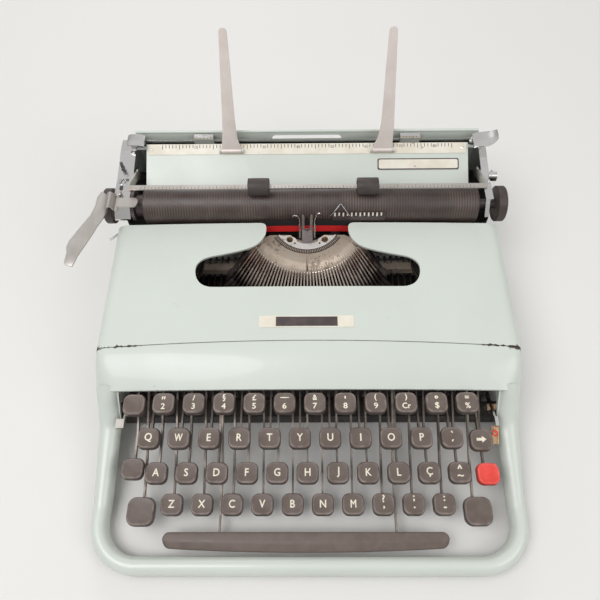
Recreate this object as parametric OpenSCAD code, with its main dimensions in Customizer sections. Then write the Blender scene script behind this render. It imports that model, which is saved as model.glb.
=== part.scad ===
// Portable typewriter, as an assembly of separate pieces.
// Millimetres. Z is up, the keyboard faces -Y, the origin is on the floor under the body.

/* [Body] */
// Width of the body across its side walls
body_w = 276.5; // [272:0.5:290]
// Front edge of the keyboard surround to the rear wall
body_d = 284; // [280:1:292]
// Sheet thickness of the shell and of the ribbon cover
wall = 1.6; // [1.2:0.1:2]
// Plan radius of the two front corners
corner_r = 32; // [28:1:36]
// Width of the rolled rail at the front of the keyboard
rail_w = 11; // [10:0.5:12]
// Height of the shell's lower edge above the floor
skirt_z = 3; // [2:0.5:4]
// Height of the middle of the ribbon cover at its rear edge
cover_z = 62.5; // [61.5:0.1:63.5]

/* [Keyboard] */
// Distance between neighbouring keys and between rows
key_pitch = 19.05; // [18.6:0.05:19.1]
// Height of the lowest row's key tops
low_row_z = 20; // [19:0.5:22]
// Rise from each row to the next
row_rise = 10.6; // [9.5:0.1:10.8]
// Width of a key top
cap_w = 14; // [13:0.1:15]
// Thickness of a key top
cap_h = 5.5; // [5:0.1:6]
// How far a key top dips
key_dip = 9; // [7:0.5:9]
// Thickness of a key lever
lever_t = 1.2; // [1:0.1:1.3]

/* [Type basket] */
// Radius from the printing axis to the typebar pivots
segment_r = 44.5; // [43:0.5:44.5]
// Number of typebars, an odd number
typebars_n = 43; // [39:2:43]
// Half angle of the typebar fan
fan_deg = 60; // [56:1:60]
// Tilt of the printing axis above the horizontal
axis_tilt = 28; // [27:0.5:29]
// Thickness of a typebar
typebar_t = 1; // [0.8:0.1:1.1]
// Drop of the basket when a shift key is held
shift_drop = 5; // [3:0.5:5]

/* [Carriage] */
// Radius of the platen's rubber
platen_r = 13.5; // [13:0.1:13.8]
// Length of the platen's rubber
platen_len = 248; // [240:1:250]
// Height of the platen's axis
platen_z = 62.8; // [62:0.1:63.5]
// Radius of the platen knobs
knob_r = 12.85; // [12:0.1:13.5]
// Width of the platen knobs
knob_w = 7; // [6:0.5:8]
// Slope of the paper table
table_deg = 28; // [26:0.5:29]
// Length of a paper arm
arm_len = 86; // [70:1:90]
// Lean of the paper arms from the vertical
arm_lean = 23; // [22:0.5:41]
// Length of the carriage return lever
return_len = 64; // [50:1:66]

/* [Ribbon] */
// Radius of a ribbon spool's flanges
spool_r = 24; // [21:0.5:24]
// Width of the ribbon
ribbon_w = 12.5; // [11:0.5:12.7]

/* [Fits] */
// Radial clearance of a shaft that turns in a bore
run_gap = 0.06; // [0.03:0.01:0.1]
// Clearance between pieces that pass each other
pass_gap = 0.35; // [0.3:0.05:0.5]

/* [Hidden] */
$fn = 48;
half_w = body_w / 2;
front_y = -148;
rear_y = front_y + body_d;
inner_x = half_w - wall;

enamel = [0.72, 0.75, 0.66];
bakelite = [0.24, 0.20, 0.18];
red_cap = [0.86, 0.33, 0.26];
steel = [0.62, 0.60, 0.57];
dark_steel = [0.32, 0.30, 0.28];
chrome = [0.82, 0.82, 0.82];
rubber = [0.15, 0.13, 0.12];
brass = [0.70, 0.57, 0.32];

// Places along Y that the shell, the keyboard and the carriage share.
axis_y = rear_y - 41;
axis_z = platen_z;
open_y = front_y + 105;
cover_back_y = axis_y - platen_r - 2.5;
cover_share = 0.7566;
seam_y = cover_back_y - cover_share * (cover_back_y - open_y);
seam_bow = 4.5;
seam_gap = 0.6;
cover_skirt_z = 46;
wall_top_z = cover_skirt_z - 0.5;
rear_top_z = 32;

// Keyboard rows, from the number row to the lowest row.
row_y = [for (i = [0:3]) front_y + 95.4 - i * key_pitch + (i == 3 ? 2 : 0)];
row_z = [for (i = [0:3]) low_row_z + (3 - i) * row_rise];
row_x = [-4.78, -5.28, -5.03, -4.53] * key_pitch;
row_keys = [11, 11, 11, 10];
h_row = 2;
h_index = 5;

// Key levers all turn on one fulcrum shaft.
fulcrum_y = axis_y - 15;
fulcrum_z = 9.5;
fulcrum_r = 2.5;
lever_h = 3.6;
lever_front_z = key_dip + 1.5;
stem_w = 3;
boss_r = 4.5;

// Side plates of the chassis.
frame_t = 2;
frame_side = 22.25;
frame_x = half_w - frame_side;
foot_r = 0.43 * (inner_x - frame_x - frame_t);
base_z = 3.5;
base_t = 1.5;

// Carriage, from the platen's axis outwards.
plate_t = 3;
plate_x = platen_len / 2 + 4;
journal_r = 3.5;
bed_z = 38;
bed_t = 2;
flange_w = 8.5;
knob_x = plate_x + plate_t + flange_w + 0.5;
right_knob_x = plate_x + plate_t + 5;
rail_top_z = bed_z - 0.5;
rail_h = rail_top_z - rear_top_z;
rail_d = 6;
front_rail_y = axis_y - 7;
rear_rail_y = axis_y + 31;
back_y = axis_y + 54.2;
back_t = 1.4;
back_top_z = axis_z + 21.4;
plate_back_y = back_y - back_t;

// Paper table and what stands on it.
table_foot = [axis_y + 17, axis_z + 0.2];
table_len = 32.5;
table_t = 1.2;
table_head = table_foot + table_len * [cos(table_deg), sin(table_deg)];
arm_barrel_r = 1.7;
arm_pin_r = 0.9;
arm_foot_w = 15;
arm_foot = table_head - 6 * [cos(table_deg), sin(table_deg)]
    + (arm_barrel_r + pass_gap) * [-sin(table_deg), cos(table_deg)];
table_w = platen_len - 8;
arm_t = 1.2;
arm_x = 56;
rack_y = back_y - 4.5;
rack_t = 1.4;
rack_z = axis_z + 13;
rack_h = 6;
stop_w = 15;
stop_x = 77;

// Printing point and the basket's own frame, whose Z axis is the printing axis.
print_gap = 0.8;
print_p = [0, axis_y - platen_r - print_gap, axis_z + 1.2];
fan_step = 2 * fan_deg / (typebars_n - 1);
typebar_h = 3.5;
typebar_len = segment_r;
slot_w = typebar_t + 0.3;
hub_r = typebar_h / 2 + 0.25;
slot_floor = -hub_r;
ring_in = segment_r - 4;
ring_out = segment_r + 6;
plate_z = [-6, -3];
plate_in = 20;
slug = [2.4, 4, 4.5];
pivot_r = 0.8;

// Ribbon and spools.
spool_x = 101;
spool_y = cover_back_y - spool_r + 2;
spool_h = ribbon_w + 2;
spool_z = cover_z - 5 - spool_h;
flange_t = 0.8;
ribbon_y = print_p[1] - 1.3;
ribbon_t = 0.3;
ribbon_z = print_p[2] - 2.3 - ribbon_w;
post_r = 3;

// Step from 0 to 1 with a level start and end.
function ease(t) = t <= 0 ? 0 : t >= 1 ? 1 : t * t * (3 - 2 * t);
function mix(a, b, t) = a + (b - a) * t;
function flat(grid) = [for (row = grid) for (p = row) p];
function flip(list) = [for (i = [len(list) - 1:-1:0]) list[i]];

// Two triangles for a four-sided face.
function quad(a, b, c, d) = [[a, b, c], [a, c, d]];

// Triangles of a sheet of n rows and m columns, from point k on.
function grid_faces(n, m, k) = [
    for (j = [0:n - 2]) for (i = [0:m - 2])
        each quad(k + j * m + i, k + j * m + i + 1, k + (j + 1) * m + i + 1, k + (j + 1) * m + i)
];

// Triangles that join the rims of two sheets of n rows and m columns.
function rim_faces(n, m) = let (
    edge = concat(
        [for (i = [0:m - 2]) [i, i + 1]],
        [for (j = [0:n - 2]) [j * m + m - 1, (j + 1) * m + m - 1]],
        [for (i = [m - 1:-1:1]) [(n - 1) * m + i, (n - 1) * m + i - 1]],
        [for (j = [n - 1:-1:1]) [j * m, (j - 1) * m]]
    )
) [for (e = edge) each quad(e[0], e[0] + n * m, e[1] + n * m, e[1])];

// A thick sheet between an outer grid of points and an inner one.
module sheet(outer, inner) {
    n = len(outer);
    m = len(outer[0]);
    polyhedron(
        points = concat(flat(outer), flat(inner)),
        faces = concat(
            grid_faces(n, m, 0),
            [for (f = grid_faces(n, m, n * m)) flip(f)],
            rim_faces(n, m)
        )
    );
}

// A profile in Y and Z, made t thick along X and centred there.
module yz_plate(t) {
    rotate([90, 0, 90]) linear_extrude(t, center = true) children();
}

module x_rod(r, h) {
    rotate([0, 90, 0]) cylinder(r = r, h = h, center = true);
}

module rounded(w, d, r) {
    square([w - 2 * r, d], center = true);
    square([w, d - 2 * r], center = true);
    for (x = [-1, 1]) for (y = [-1, 1]) translate([x * (w / 2 - r), y * (d / 2 - r)]) circle(r);
}

// The basket's frame: Z runs along the printing axis, -Y points down to the middle typebar.
module basket() {
    translate(print_p) rotate([90 - axis_tilt, 0, 0]) children();
}

// Height of the side's widest line, the crown of the rail and its width, along Y.
function side_z(y) = let (f = y - front_y) 0.24 + 0.283 * max(f, 40) + 18.8 * ease((f - 84) / 42);
function shoulder_z(y) = side_z(y) - 2.5;
function crown_z(y) = side_z(y) + 4 + 3.6 * ease((y - front_y - 85) / 20);
function rail_width(y) = mix(rail_w, 16.75, ease((y - front_y - 30) / 75));
function seam(x) = seam_y - seam_bow * pow(x / half_w, 2);

// Half of the rail's path, from the deck to the middle of the front: [x, y, normal x, normal y].
rail_path = concat(
    [for (i = [0:12]) [half_w, mix(open_y + 3, front_y + corner_r, i / 12), -1, 0]],
    [for (a = [-9:-9:-90]) [
        half_w - corner_r + corner_r * cos(a), front_y + corner_r + corner_r * sin(a), -cos(a), -sin(a)
    ]],
    [for (i = [1:3]) [mix(half_w - corner_r, 0, i / 3), front_y, 0, 1]]
);
rail_stations = concat(
    rail_path,
    [for (s = flip([for (i = [0:len(rail_path) - 2]) rail_path[i]])) [-s[0], s[1], -s[2], s[3]]]
);

// Section of the rolled rail at one station, inset by t: outer foot, crown, inner foot.
function rail_section(s, t) = let (
    w = rail_width(s[1]),
    low = shoulder_z(s[1]),
    rise = crown_z(s[1]) - low - t,
    foot = max(skirt_z, crown_z(s[1]) - 14),
    uz = concat(
        [[t, skirt_z]],
        [for (a = [180:-22.5:0]) [w / 2 + (w / 2 - t) * cos(a), low + rise * sin(a)]],
        [[w - t, foot]]
    )
) [for (p = uz) [s[0] + s[2] * p[0], s[1] + s[3] * p[0], p[1]]];

// Section across the deck or the cover, inset by t: [x, z] from the right foot to the left one.
function deck_section(foot, low, edge, mid, round_w, t) = let (
    flank = half_w - round_w,
    right = concat(
        [[half_w - t, foot]],
        [for (a = [0:15:90]) [flank + (round_w - t) * cos(a), low + (edge - t - low) * sin(a)]],
        [for (f = [0.8, 0.6, 0.4, 0.2]) [flank * f, edge - t + (mid - edge) * (1 - f * f)]]
    )
) concat(right, [[0, mid - t]], [for (p = flip(right)) [-p[0], p[1]]]);

// Rows of the deck between the keyboard opening and the seam.
function deck_rows(t) = [for (v = [0:1 / 7:1.001]) let (
    y = mix(open_y, seam_y - seam_bow, v),
    g = sin(90 * v),
    s = deck_section(skirt_z, shoulder_z(y), 47 + 10.2 * g, 49.5 + 9.2 * g, mix(16.75, 9, v), t)
) [for (p = s) [p[0], mix(open_y, seam(p[0]), v), p[1]]]];

// Rows of the ribbon cover from the seam to its rear edge.
function cover_rows(t) = [for (v = [0:1 / 12:1.001]) let (
    bulge = 0.8 * sin(180 * v),
    mid = mix(58.7, cover_z, v) + bulge,
    edge = mix(57.2, cover_z - 2, v) + bulge,
    s = deck_section(cover_skirt_z, 53.4, edge, mid, 9, t)
) [for (p = s) [p[0], mix(seam(p[0]) + seam_gap, cover_back_y, v), p[1]]]];

module body_shell() {
    color(enamel) union() {
        sheet(
            [for (s = flip(rail_stations)) rail_section(s, 0)],
            [for (s = flip(rail_stations)) rail_section(s, wall)]
        );
        sheet(deck_rows(0), deck_rows(wall));
        deck_lip();
        shell_walls();
        for (x = [-1, 1]) for (y = foot_places()) foot_boss(x, y);
    }
}

// Folded edge behind the number row.
module deck_lip() {
    lip = [for (f = [1:-0.25:-1]) f * (half_w - 16)];
    function lip_z(x) = 47 + 2.5 * (1 - pow(x / (half_w - 16.75), 2)) - 0.4;
    sheet(
        [for (k = [6, 0]) [for (x = lip) [x, open_y, lip_z(x) - k]]],
        [for (k = [6, 0]) [for (x = lip) [x, open_y + wall, lip_z(x) - k]]]
    );
}

module wall_outline(t) {
    w = body_w - 2 * t;
    r = 14 - t;
    y0 = seam_y - seam_bow - 3 - t;
    y1 = rear_y - t;
    translate([-w / 2, y0]) square([w, y1 - r - y0]);
    translate([-w / 2 + r, y0]) square([w - 2 * r, y1 - y0]);
    for (x = [-1, 1]) translate([x * (w / 2 - r), y1 - r]) circle(r);
}

// Side and rear walls, lower behind the ribbon cover so that the carriage passes over them.
module shell_walls() {
    difference() {
        translate([0, 0, skirt_z]) linear_extrude(wall_top_z - skirt_z) difference() {
            wall_outline(0);
            wall_outline(wall);
        }
        translate([-body_w, cover_back_y + 1, rear_top_z]) cube([2 * body_w, body_d, body_w]);
    }
}

function foot_places() = [open_y + 24, rear_y - 22];

// Pad inside the wall that the foot bracket is screwed to.
module foot_boss(x, y) {
    hull() for (d = [-5, 5]) translate([x * (inner_x - 2.5), y + d, base_z + base_t + 6])
        cylinder(r = 3, h = 8, center = true, $fn = 32);
}

module ribbon_cover() {
    color(enamel) difference() {
        sheet(cover_rows(0), cover_rows(wall));
        translate([0, 0, cover_skirt_z]) linear_extrude(body_w) cutout();
    }
}

// Opening over the type basket: a neck behind and two wings in front.
module cutout() {
    y = cover_back_y;
    side = [[29.3, y + 20], [29.3, y - 10], [37, y - 20.5], [72, y - 29.5], [77.5, y - 36], [75.5, y - 48],
        [66, y - 52.6]];
    offset(r = 5) offset(r = -10) offset(r = 5)
        polygon(concat(side, [for (p = flip(side)) [-p[0], p[1]]]));
}

// Steel frame: two side plates, floor bars that join them, feet brackets and posts.
module chassis_frame() {
    color(dark_steel) difference() {
        union() {
            for (x = [-1, 1]) {
                translate([x * (frame_x + frame_t / 2), 0, 0]) yz_plate(frame_t) side_profile();
                for (y = foot_places()) translate([x * (frame_x + inner_x) / 2, y, base_z + base_t / 2 + 2])
                    cube([inner_x - frame_x, 16, base_t], center = true);
                basket_post(x);
                translate([x * (frame_x + frame_t + 1.2), selector_pivot[0], selector_pivot[1]])
                    x_rod(2, 3.2);
            }
            for (b = [[basket_post_y - 5, 10], [axis_y + 4, 34]])
                translate([-frame_x - 0.1, b[0], base_z]) cube([2 * frame_x + 0.2, b[1], base_t]);
            translate([-drum_x, drum_y, base_z]) cylinder(r = post_r, h = 25);
        }
        translate([0, fulcrum_y, fulcrum_z]) x_rod(fulcrum_r, 2 * body_w);
    }
}

// Post that the basket slides on, hung from a tab of the side plate.
module basket_post(x) {
    tab = 2;
    reach = frame_x - basket_post_x + post_r + 1;
    translate([x * (frame_x - reach / 2 + 0.05), basket_post_y, rear_top_z - tab / 2])
        cube([reach + 0.1, 8, tab], center = true);
    translate([x * basket_post_x, basket_post_y, basket_low_z])
        cylinder(r = post_r, h = rear_top_z - tab / 2 - basket_low_z);
}

basket_bar_z = 19;
basket_bar_h = 6;
basket_low_z = basket_bar_z - shift_drop - 1;
basket_post_x = 108;
basket_post_y = fulcrum_y - 15;
drum_x = 85;
drum_y = axis_y + 18;
drum_r = 17;

module side_profile() {
    polygon([
        [open_y + 4, base_z], [rear_y - 6, base_z], [rear_y - 6, rear_top_z], [cover_back_y - 50, rear_top_z],
        [seam_y - 4, 34], [open_y + 4, 34]
    ]);
}

// Comb behind the number row: one slot for each key lever.
module key_comb() {
    y = open_y + 4;
    color(dark_steel) difference() {
        translate([-frame_x, y, 6]) cube([2 * frame_x, 1.5, 32]);
        for (x = lever_places()) translate([x - lever_t / 2 - pass_gap, y - 1, 5])
            cube([lever_t + 2 * pass_gap, 4, 20]);
    }
}

function row_places(i) = [for (k = [0:row_keys[i] - 1]) row_x[i] + k * key_pitch];
space_side = cap_w / 2 + pass_gap + lever_t / 2;
space_arms = [row_places(3)[0] - space_side, row_places(3)[row_keys[3] - 1] + space_side];
function lever_places() = concat(
    [for (i = [0:3]) each row_places(i)], space_arms,
    [for (k = special_keys()) k[3]]
);

// Two rails that the carriage runs on.
module carriage_rail() {
    color(steel) for (y = [front_rail_y, rear_rail_y])
        translate([-plate_x, y, rear_top_z]) cube([2 * plate_x, rail_d, rail_h]);
}

module fulcrum_shaft() {
    color(steel) translate([0, fulcrum_y, fulcrum_z]) x_rod(fulcrum_r, 2 * (frame_x + frame_t));
}

module rubber_feet() {
    h = base_z + 2;
    color(rubber) for (x = [-1, 1]) for (y = foot_places())
        translate([x * (frame_x + inner_x) / 2, y, 0]) cylinder(r1 = foot_r - 1, r2 = foot_r, h = h);
}

// Cups under the ribbon spools, on the side plates, with the spool posts.
module spool_cups() {
    color(dark_steel) for (x = [-1, 1]) {
        translate([x * spool_x, spool_y, spool_z - 2.3]) {
            difference() {
                cylinder(r = spool_r + 1.5, h = 2.8);
                translate([0, 0, 1.5]) cylinder(r = spool_r + 0.7, h = 10);
                translate([-body_w / 2, spool_r - 1, -1]) cube([body_w, 9, 9]);
            }
            cylinder(r = post_r, h = spool_h + 2.6);
            translate([-x * spool_x, 0, 0]) translate([x * (frame_x + 1), 0, 0]) spool_leg(x);
        }
    }
}

// Leg from the cup down to the side plate's top edge.
module spool_leg(x) {
    drop = spool_z - 2.3 - rear_top_z;
    translate([-3, -9, -drop]) cube([6, 18, drop + 0.5]);
}

// Card holder beside the printing point, with the ribbon vibrator's guide at its foot.
module card_holder() {
    r = platen_r + 0.6;
    h = 0.5;
    x0 = 18;
    w = 38;
    foot_z = rear_top_z + 1;
    color(chrome) {
        difference() {
            translate([x0, axis_y, axis_z]) rotate([90, 0, 90]) rotate([0, 0, 150])
                rotate_extrude(angle = 32) translate([r, 0]) square([h, w]);
            for (i = [1:11]) translate([x0 + 3 * i, axis_y - 2 * r, axis_z + 5]) cube([0.6, 2 * r, 4]);
        }
        translate([x0, axis_y - r - h, foot_z]) cube([6, h, axis_z - foot_z]);
        translate([-8, ribbon_y - 0.7, foot_z]) cube([x0 + 14, front_rail_y - ribbon_y + 0.7, 1.5]);
    }
}

// Inked band from spool to spool, past the printing point.
module ribbon() {
    leave_y = spool_y + 17;
    leave_z = spool_z + 1;
    run = [
        [0, ribbon_y, ribbon_z], [12, ribbon_y, ribbon_z], [spool_x - spool_r - 1.5, leave_y + 1.4, leave_z],
        [spool_x, leave_y, leave_z]
    ];
    color(rubber) {
        for (x = [-1, 1]) for (i = [0:len(run) - 2]) hull() {
            ribbon_edge(x, run[i]);
            ribbon_edge(x, run[i + 1]);
        }
    }
}

module ribbon_edge(x, p) {
    translate([x * p[0] - 0.05, p[1], p[2]]) cube([0.1, ribbon_t, ribbon_w]);
}

// A dished key top with its upper face at z = 0.
module cap(w, d) {
    r = 0.3 * max(w, d);
    difference() {
        translate([0, 0, -cap_h]) linear_extrude(cap_h) rounded(w, d, r);
        translate([0, 0, 29.3]) sphere(r = 30);
    }
}

// Key lever of one row, with its stem up to the underside of the cap.
module lever(y, top_z) {
    yz_plate(lever_t) difference() {
        union() {
            polygon([
                [fulcrum_y, fulcrum_z - lever_h / 2],
                [y - stem_w / 2, lever_front_z], [y - stem_w / 2, top_z],
                [y + stem_w / 2, top_z], [y + stem_w / 2, lever_front_z + lever_h - 0.2],
                [fulcrum_y, fulcrum_z + lever_h / 2]
            ]);
            translate([fulcrum_y, fulcrum_z]) circle(boss_r);
        }
        translate([fulcrum_y, fulcrum_z]) circle(fulcrum_r + run_gap);
    }
}

function is_h(i, k) = i == h_row && k == h_index;

module row_caps(i) {
    color(bakelite) for (k = [0:row_keys[i] - 1]) if (!is_h(i, k))
        translate([row_places(i)[k], row_y[i], row_z[i]]) cap(cap_w, cap_w - 0.5);
}

module row_levers(i) {
    color(steel) for (k = [0:row_keys[i] - 1]) if (!is_h(i, k))
        translate([row_places(i)[k], 0, 0]) lever(row_y[i], row_z[i] - cap_h);
}

module number_row_caps() { row_caps(0); }
module upper_row_caps() { row_caps(1); }
module home_row_caps() { row_caps(2); }
module lower_row_caps() { row_caps(3); }
module number_row_levers() { row_levers(0); }
module upper_row_levers() { row_levers(1); }
module home_row_levers() { row_levers(2); }
module lower_row_levers() { row_levers(3); }

// The one letter key that is modelled with its own typebar.
module h_key() {
    x = row_places(h_row)[h_index];
    color(bakelite) translate([x, row_y[h_row], row_z[h_row]]) cap(cap_w, cap_w - 0.5);
    color(steel) translate([x, 0, 0]) lever(row_y[h_row], row_z[h_row] - cap_h);
}

// Keys beside the letters: [x, y, top z, lever x, width, depth].
function special_keys() = [
    [-5.75 * key_pitch, row_y[0] - 0.9, row_z[0], -5.71 * key_pitch, cap_w, cap_w - 0.5],
    [-5.82 * key_pitch, row_y[2] + 2.6, row_z[2] + 0.5, -5.87 * key_pitch, cap_w, cap_w - 0.5],
    [5.66 * key_pitch, row_y[1] - 1.5, row_z[1], 5.69 * key_pitch, cap_w, cap_w - 0.5],
    [5.89 * key_pitch, row_y[2] - 0.8, row_z[2], 5.86 * key_pitch, cap_w, cap_w - 0.5],
    [-5.53 * key_pitch, row_y[3] - 4.2, row_z[3], -5.53 * key_pitch, cap_w + 3.5, cap_w + 3.5],
    [5.55 * key_pitch, row_y[3] - 4.2, row_z[3], 5.51 * key_pitch, cap_w + 3.5, cap_w + 3.5]
];

module special_cap(i) {
    k = special_keys()[i];
    translate([k[0], k[1], k[2]]) cap(k[4], k[5]);
}

module special_lever(i) {
    k = special_keys()[i];
    translate([k[3], 0, 0]) lever(k[1], k[2] - cap_h);
}

module margin_release_key() {
    color(bakelite) special_cap(0);
    color(steel) special_lever(0);
}

module shift_lock_key() {
    color(bakelite) special_cap(1);
    color(steel) special_lever(1);
}

module backspace_key() {
    color(bakelite) special_cap(2);
    color(steel) special_lever(2);
}

module tab_key() {
    color(red_cap) special_cap(3);
    color(steel) special_lever(3);
}

module left_shift_key() { color(bakelite) special_cap(4); }
module right_shift_key() { color(bakelite) special_cap(5); }

// Both shift levers and the shaft that makes them dip together.
module shift_linkage() {
    y = seam_y - 8;
    z = lever_front_z + 13;
    keys = special_keys();
    color(steel) {
        for (i = [4, 5]) {
            special_lever(i);
            translate([keys[i][3], y, (lever_front_z + z) / 2 + 2])
                cube([lever_t, 6, z - lever_front_z], center = true);
        }
        translate([(keys[4][3] + keys[5][3]) / 2, y, z]) x_rod(1.5, keys[5][3] - keys[4][3]);
    }
}

space_d = 11.6;
space_bow_r = 1600;
module space_bar() {
    y = front_y + 18.4;
    top = low_row_z - 3.5;
    h = cap_h;
    w = 9.3 * key_pitch;
    x = (space_arms[0] + space_arms[1]) / 2 - 1.5;
    color(bakelite) translate([x, y, top - h]) linear_extrude(h) intersection() {
        rounded(w, space_d, 4);
        translate([0, space_bow_r - space_d / 2 + 0.05]) circle(space_bow_r, $fn = 720);
    }
    color(steel) {
        for (a = space_arms) translate([a, 0, 0]) lever(y, top - h + 0.2);
        translate([(space_arms[0] + space_arms[1]) / 2, y, top - h - 0.15])
            cube([space_arms[1] - space_arms[0], stem_w, 0.7], center = true);
    }
}

// Slotted sector that carries the typebars, with the plate in its middle and the frame behind it.
module segment() {
    sweep = fan_deg + 3;
    mid = (typebars_n - 1) / 2;
    color(steel) {
        difference() {
            basket() difference() {
                rotate([0, 0, -90 - sweep]) rotate_extrude(angle = 2 * sweep) polygon([
                    [plate_in, plate_z[0]], [ring_out, plate_z[0]], [ring_out, 1], [ring_in, 1],
                    [ring_in - 3, plate_z[1]], [plate_in, plate_z[1]]
                ]);
                for (i = [0:typebars_n - 1]) rotate([0, 0, i * fan_step - fan_deg])
                    translate([-slot_w / 2, -ring_out - 1, slot_floor - (i == mid ? pass_gap : 0)])
                        cube([slot_w, ring_out - ring_in + 5, 10]);
            }
            translate([-half_w, 0, -60]) cube([body_w, body_d, 60 + basket_bar_z - 1]);
            translate([-half_w, ribbon_y - 2.6, 0]) cube([body_w, body_d, body_w]);
        }
        basket() translate([0, -segment_r, 0]) x_rod(pivot_r, slot_w + 2);
        basket_bar();
    }
}

// Cross bar behind the segment that slides on the two chassis posts.
module basket_bar() {
    z = basket_bar_z;
    h = basket_bar_h;
    difference() {
        union() {
            translate([-basket_post_x, basket_post_y - 2, z]) cube([2 * basket_post_x, 6, h]);
            for (x = [-1, 1]) translate([x * basket_post_x, basket_post_y, z])
                cylinder(r = post_r + 3, h = h);
        }
        for (x = [-1, 1]) translate([x * basket_post_x, basket_post_y, z - 1])
            cylinder(r = post_r + run_gap, h = h + 2);
    }
}

// One typebar at rest in its slot, with the type slug at its end.
module typebar(bored) {
    yz_plate(typebar_t) difference() {
        union() {
            typebar_side(0, typebar_len - slug[1] - slug_back + 1, typebar_h);
            translate([-segment_r, 0]) circle(hub_r);
        }
        if (bored) translate([-segment_r, 0]) circle(pivot_r + run_gap);
    }
    yz_plate(slug[0]) translate([-segment_r, 0]) rotate(90 + axis_tilt) polygon([
        [typebar_len - slug[1] - slug_back, -slug[2] / 2], [slug_face(-slug[2] / 2), -slug[2] / 2],
        [slug_face(slug[2] / 2), slug[2] / 2], [typebar_len - slug[1] - slug_back, slug[2] / 2]
    ]);
}

// How far along the typebar the type face is at height t: upright, just short of the ribbon.
slug_back = (print_p[1] - ribbon_y + 0.4) / sin(axis_tilt);
function slug_face(t) = typebar_len - slug_back + t / tan(axis_tilt);

// Strip from a to b along the typebar, h high, in the plane of the typebar.
module typebar_side(a, b, h) {
    translate([-segment_r, 0]) rotate(90 + axis_tilt) translate([a, -h / 2]) square([b - a, h]);
}

module typebars() {
    mid = (typebars_n - 1) / 2;
    color(steel) basket() for (i = [0:typebars_n - 1]) if (i != mid)
        rotate([0, 0, i * fan_step - fan_deg]) typebar(false);
}

module h_typebar() {
    color(steel) basket() typebar(true);
}

guide_w = 7.8;

// Fork that steers each type slug to the printing point, on the silver plate of the segment.
module type_guide() {
    color(chrome) basket() {
        difference() {
            translate([-guide_w / 2, -plate_in - 4, plate_z[1]]) cube([guide_w, plate_in - 0.6, 7]);
            translate([-slug[0] / 2 - 0.4, -plate_in - 5, plate_z[1] + 0.6]) cube([slug[0] + 0.8, 40, 9]);
            translate([-10, -plate_in, plate_z[1] - 1]) cube([20, 40, 3.6]);
        }
        rotate([0, 0, -90 - 55]) rotate_extrude(angle = 110)
            translate([plate_in + 0.5, plate_z[1]]) square([4, 0.5]);
    }
}

// Padded crescent that the typebars rest on.
module type_rest() {
    s = 30;
    out = segment_r + s * sin(axis_tilt);
    up = s * cos(axis_tilt);
    drop = typebar_h / 2 + pass_gap;
    sweep = fan_deg + 3;
    color(dark_steel) basket() {
        rotate([0, 0, -90 - sweep]) rotate_extrude(angle = 2 * sweep)
            translate([out, up]) rotate(90 - axis_tilt) translate([-3, -drop - 3]) square([6, 3]);
        for (a = [-1, 1]) rotate([0, 0, a * (fan_deg + 1.6)]) rest_arm(out, up, drop);
    }
}

// Arm from the crescent back to the end of the segment's ring.
module rest_arm(out, up, drop) {
    yz_plate(1) polygon([
        [-out + 1, up - drop - 1], [-out - 3, up - drop - 3],
        [-ring_out - 0.01, plate_z[0]], [-ring_out - 0.01, 0.5]
    ]);
}

// Fork that lifts the ribbon to the printing point.
module ribbon_vibrator() {
    y = ribbon_y - 1.9;
    t = 0.8;
    top = print_p[2] + 0.5;
    color(chrome) {
        for (x = [-1, 1]) translate([x * 8, y, 0]) {
            translate([-2.5, 0, 40]) cube([5, t, top - 40]);
            translate([-2.5, 0, top - 1.2]) cube([5, 3, 1.2]);
            translate([-2.5, 2.5, top - 4]) cube([5, 0.5, 4]);
        }
        translate([-10.5, y, 34]) cube([21, t, 8]);
        translate([-3, y, 24]) cube([6, t, 12]);
    }
}

module spool(x) {
    color(dark_steel) translate([x * spool_x, spool_y, spool_z]) difference() {
        union() {
            cylinder(r = spool_r, h = flange_t);
            cylinder(r = 16.5, h = spool_h);
            translate([0, 0, spool_h - flange_t]) cylinder(r = spool_r, h = flange_t);
        }
        translate([0, 0, -1]) cylinder(r = post_r + run_gap, h = spool_h + 2);
        for (a = [0:120:240]) rotate([0, 0, a]) translate([9, 0, -1]) cylinder(r = 2.5, h = spool_h + 2);
    }
}

module left_spool() { spool(-1); }
module right_spool() { spool(1); }

// Thumb lever on a side plate's outer face: a hub, an arm and a thumb pad.
module thumb_lever(x, pivot, tip, pad) {
    side = x > 0 ? 1 : -1;
    translate([x, 0, 0]) {
        yz_plate(1.2) difference() {
            union() {
                translate(pivot) circle(5);
                polygon([pivot + [2, -3], pivot + [2, 3], tip + [0, 1.6], tip - [0, 1.6]]);
            }
            translate(pivot) circle(2 + run_gap);
        }
        translate([side * pad / 2, tip[0], tip[1]]) cube([pad + 1.2, 6, 3.2], center = true);
    }
}

selector_pivot = [open_y + 10, 27];

module ribbon_selector() {
    color(chrome) thumb_lever(frame_x + frame_t + 1.2, selector_pivot, [open_y - 18, 38], 1);
}

module tab_set_lever() {
    color(chrome) thumb_lever(-frame_x - frame_t - 1.2, selector_pivot, [open_y - 18, 35], 4);
}

// Drum of the spring that pulls the carriage.
module mainspring_drum() {
    z = base_z + base_t + pass_gap;
    color(steel) translate([-drum_x, drum_y, z]) difference() {
        union() {
            cylinder(r = drum_r, h = 18);
            cylinder(r = drum_r + 2, h = 1.5);
            translate([0, 0, 16.5]) cylinder(r = drum_r + 2, h = 1.5);
        }
        translate([0, 0, -1]) cylinder(r = post_r + run_gap, h = 30);
        translate([0, 0, 2]) difference() {
            cylinder(r = drum_r - 1.5, h = 20);
            cylinder(r = post_r + 3, h = 20);
        }
    }
}

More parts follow.
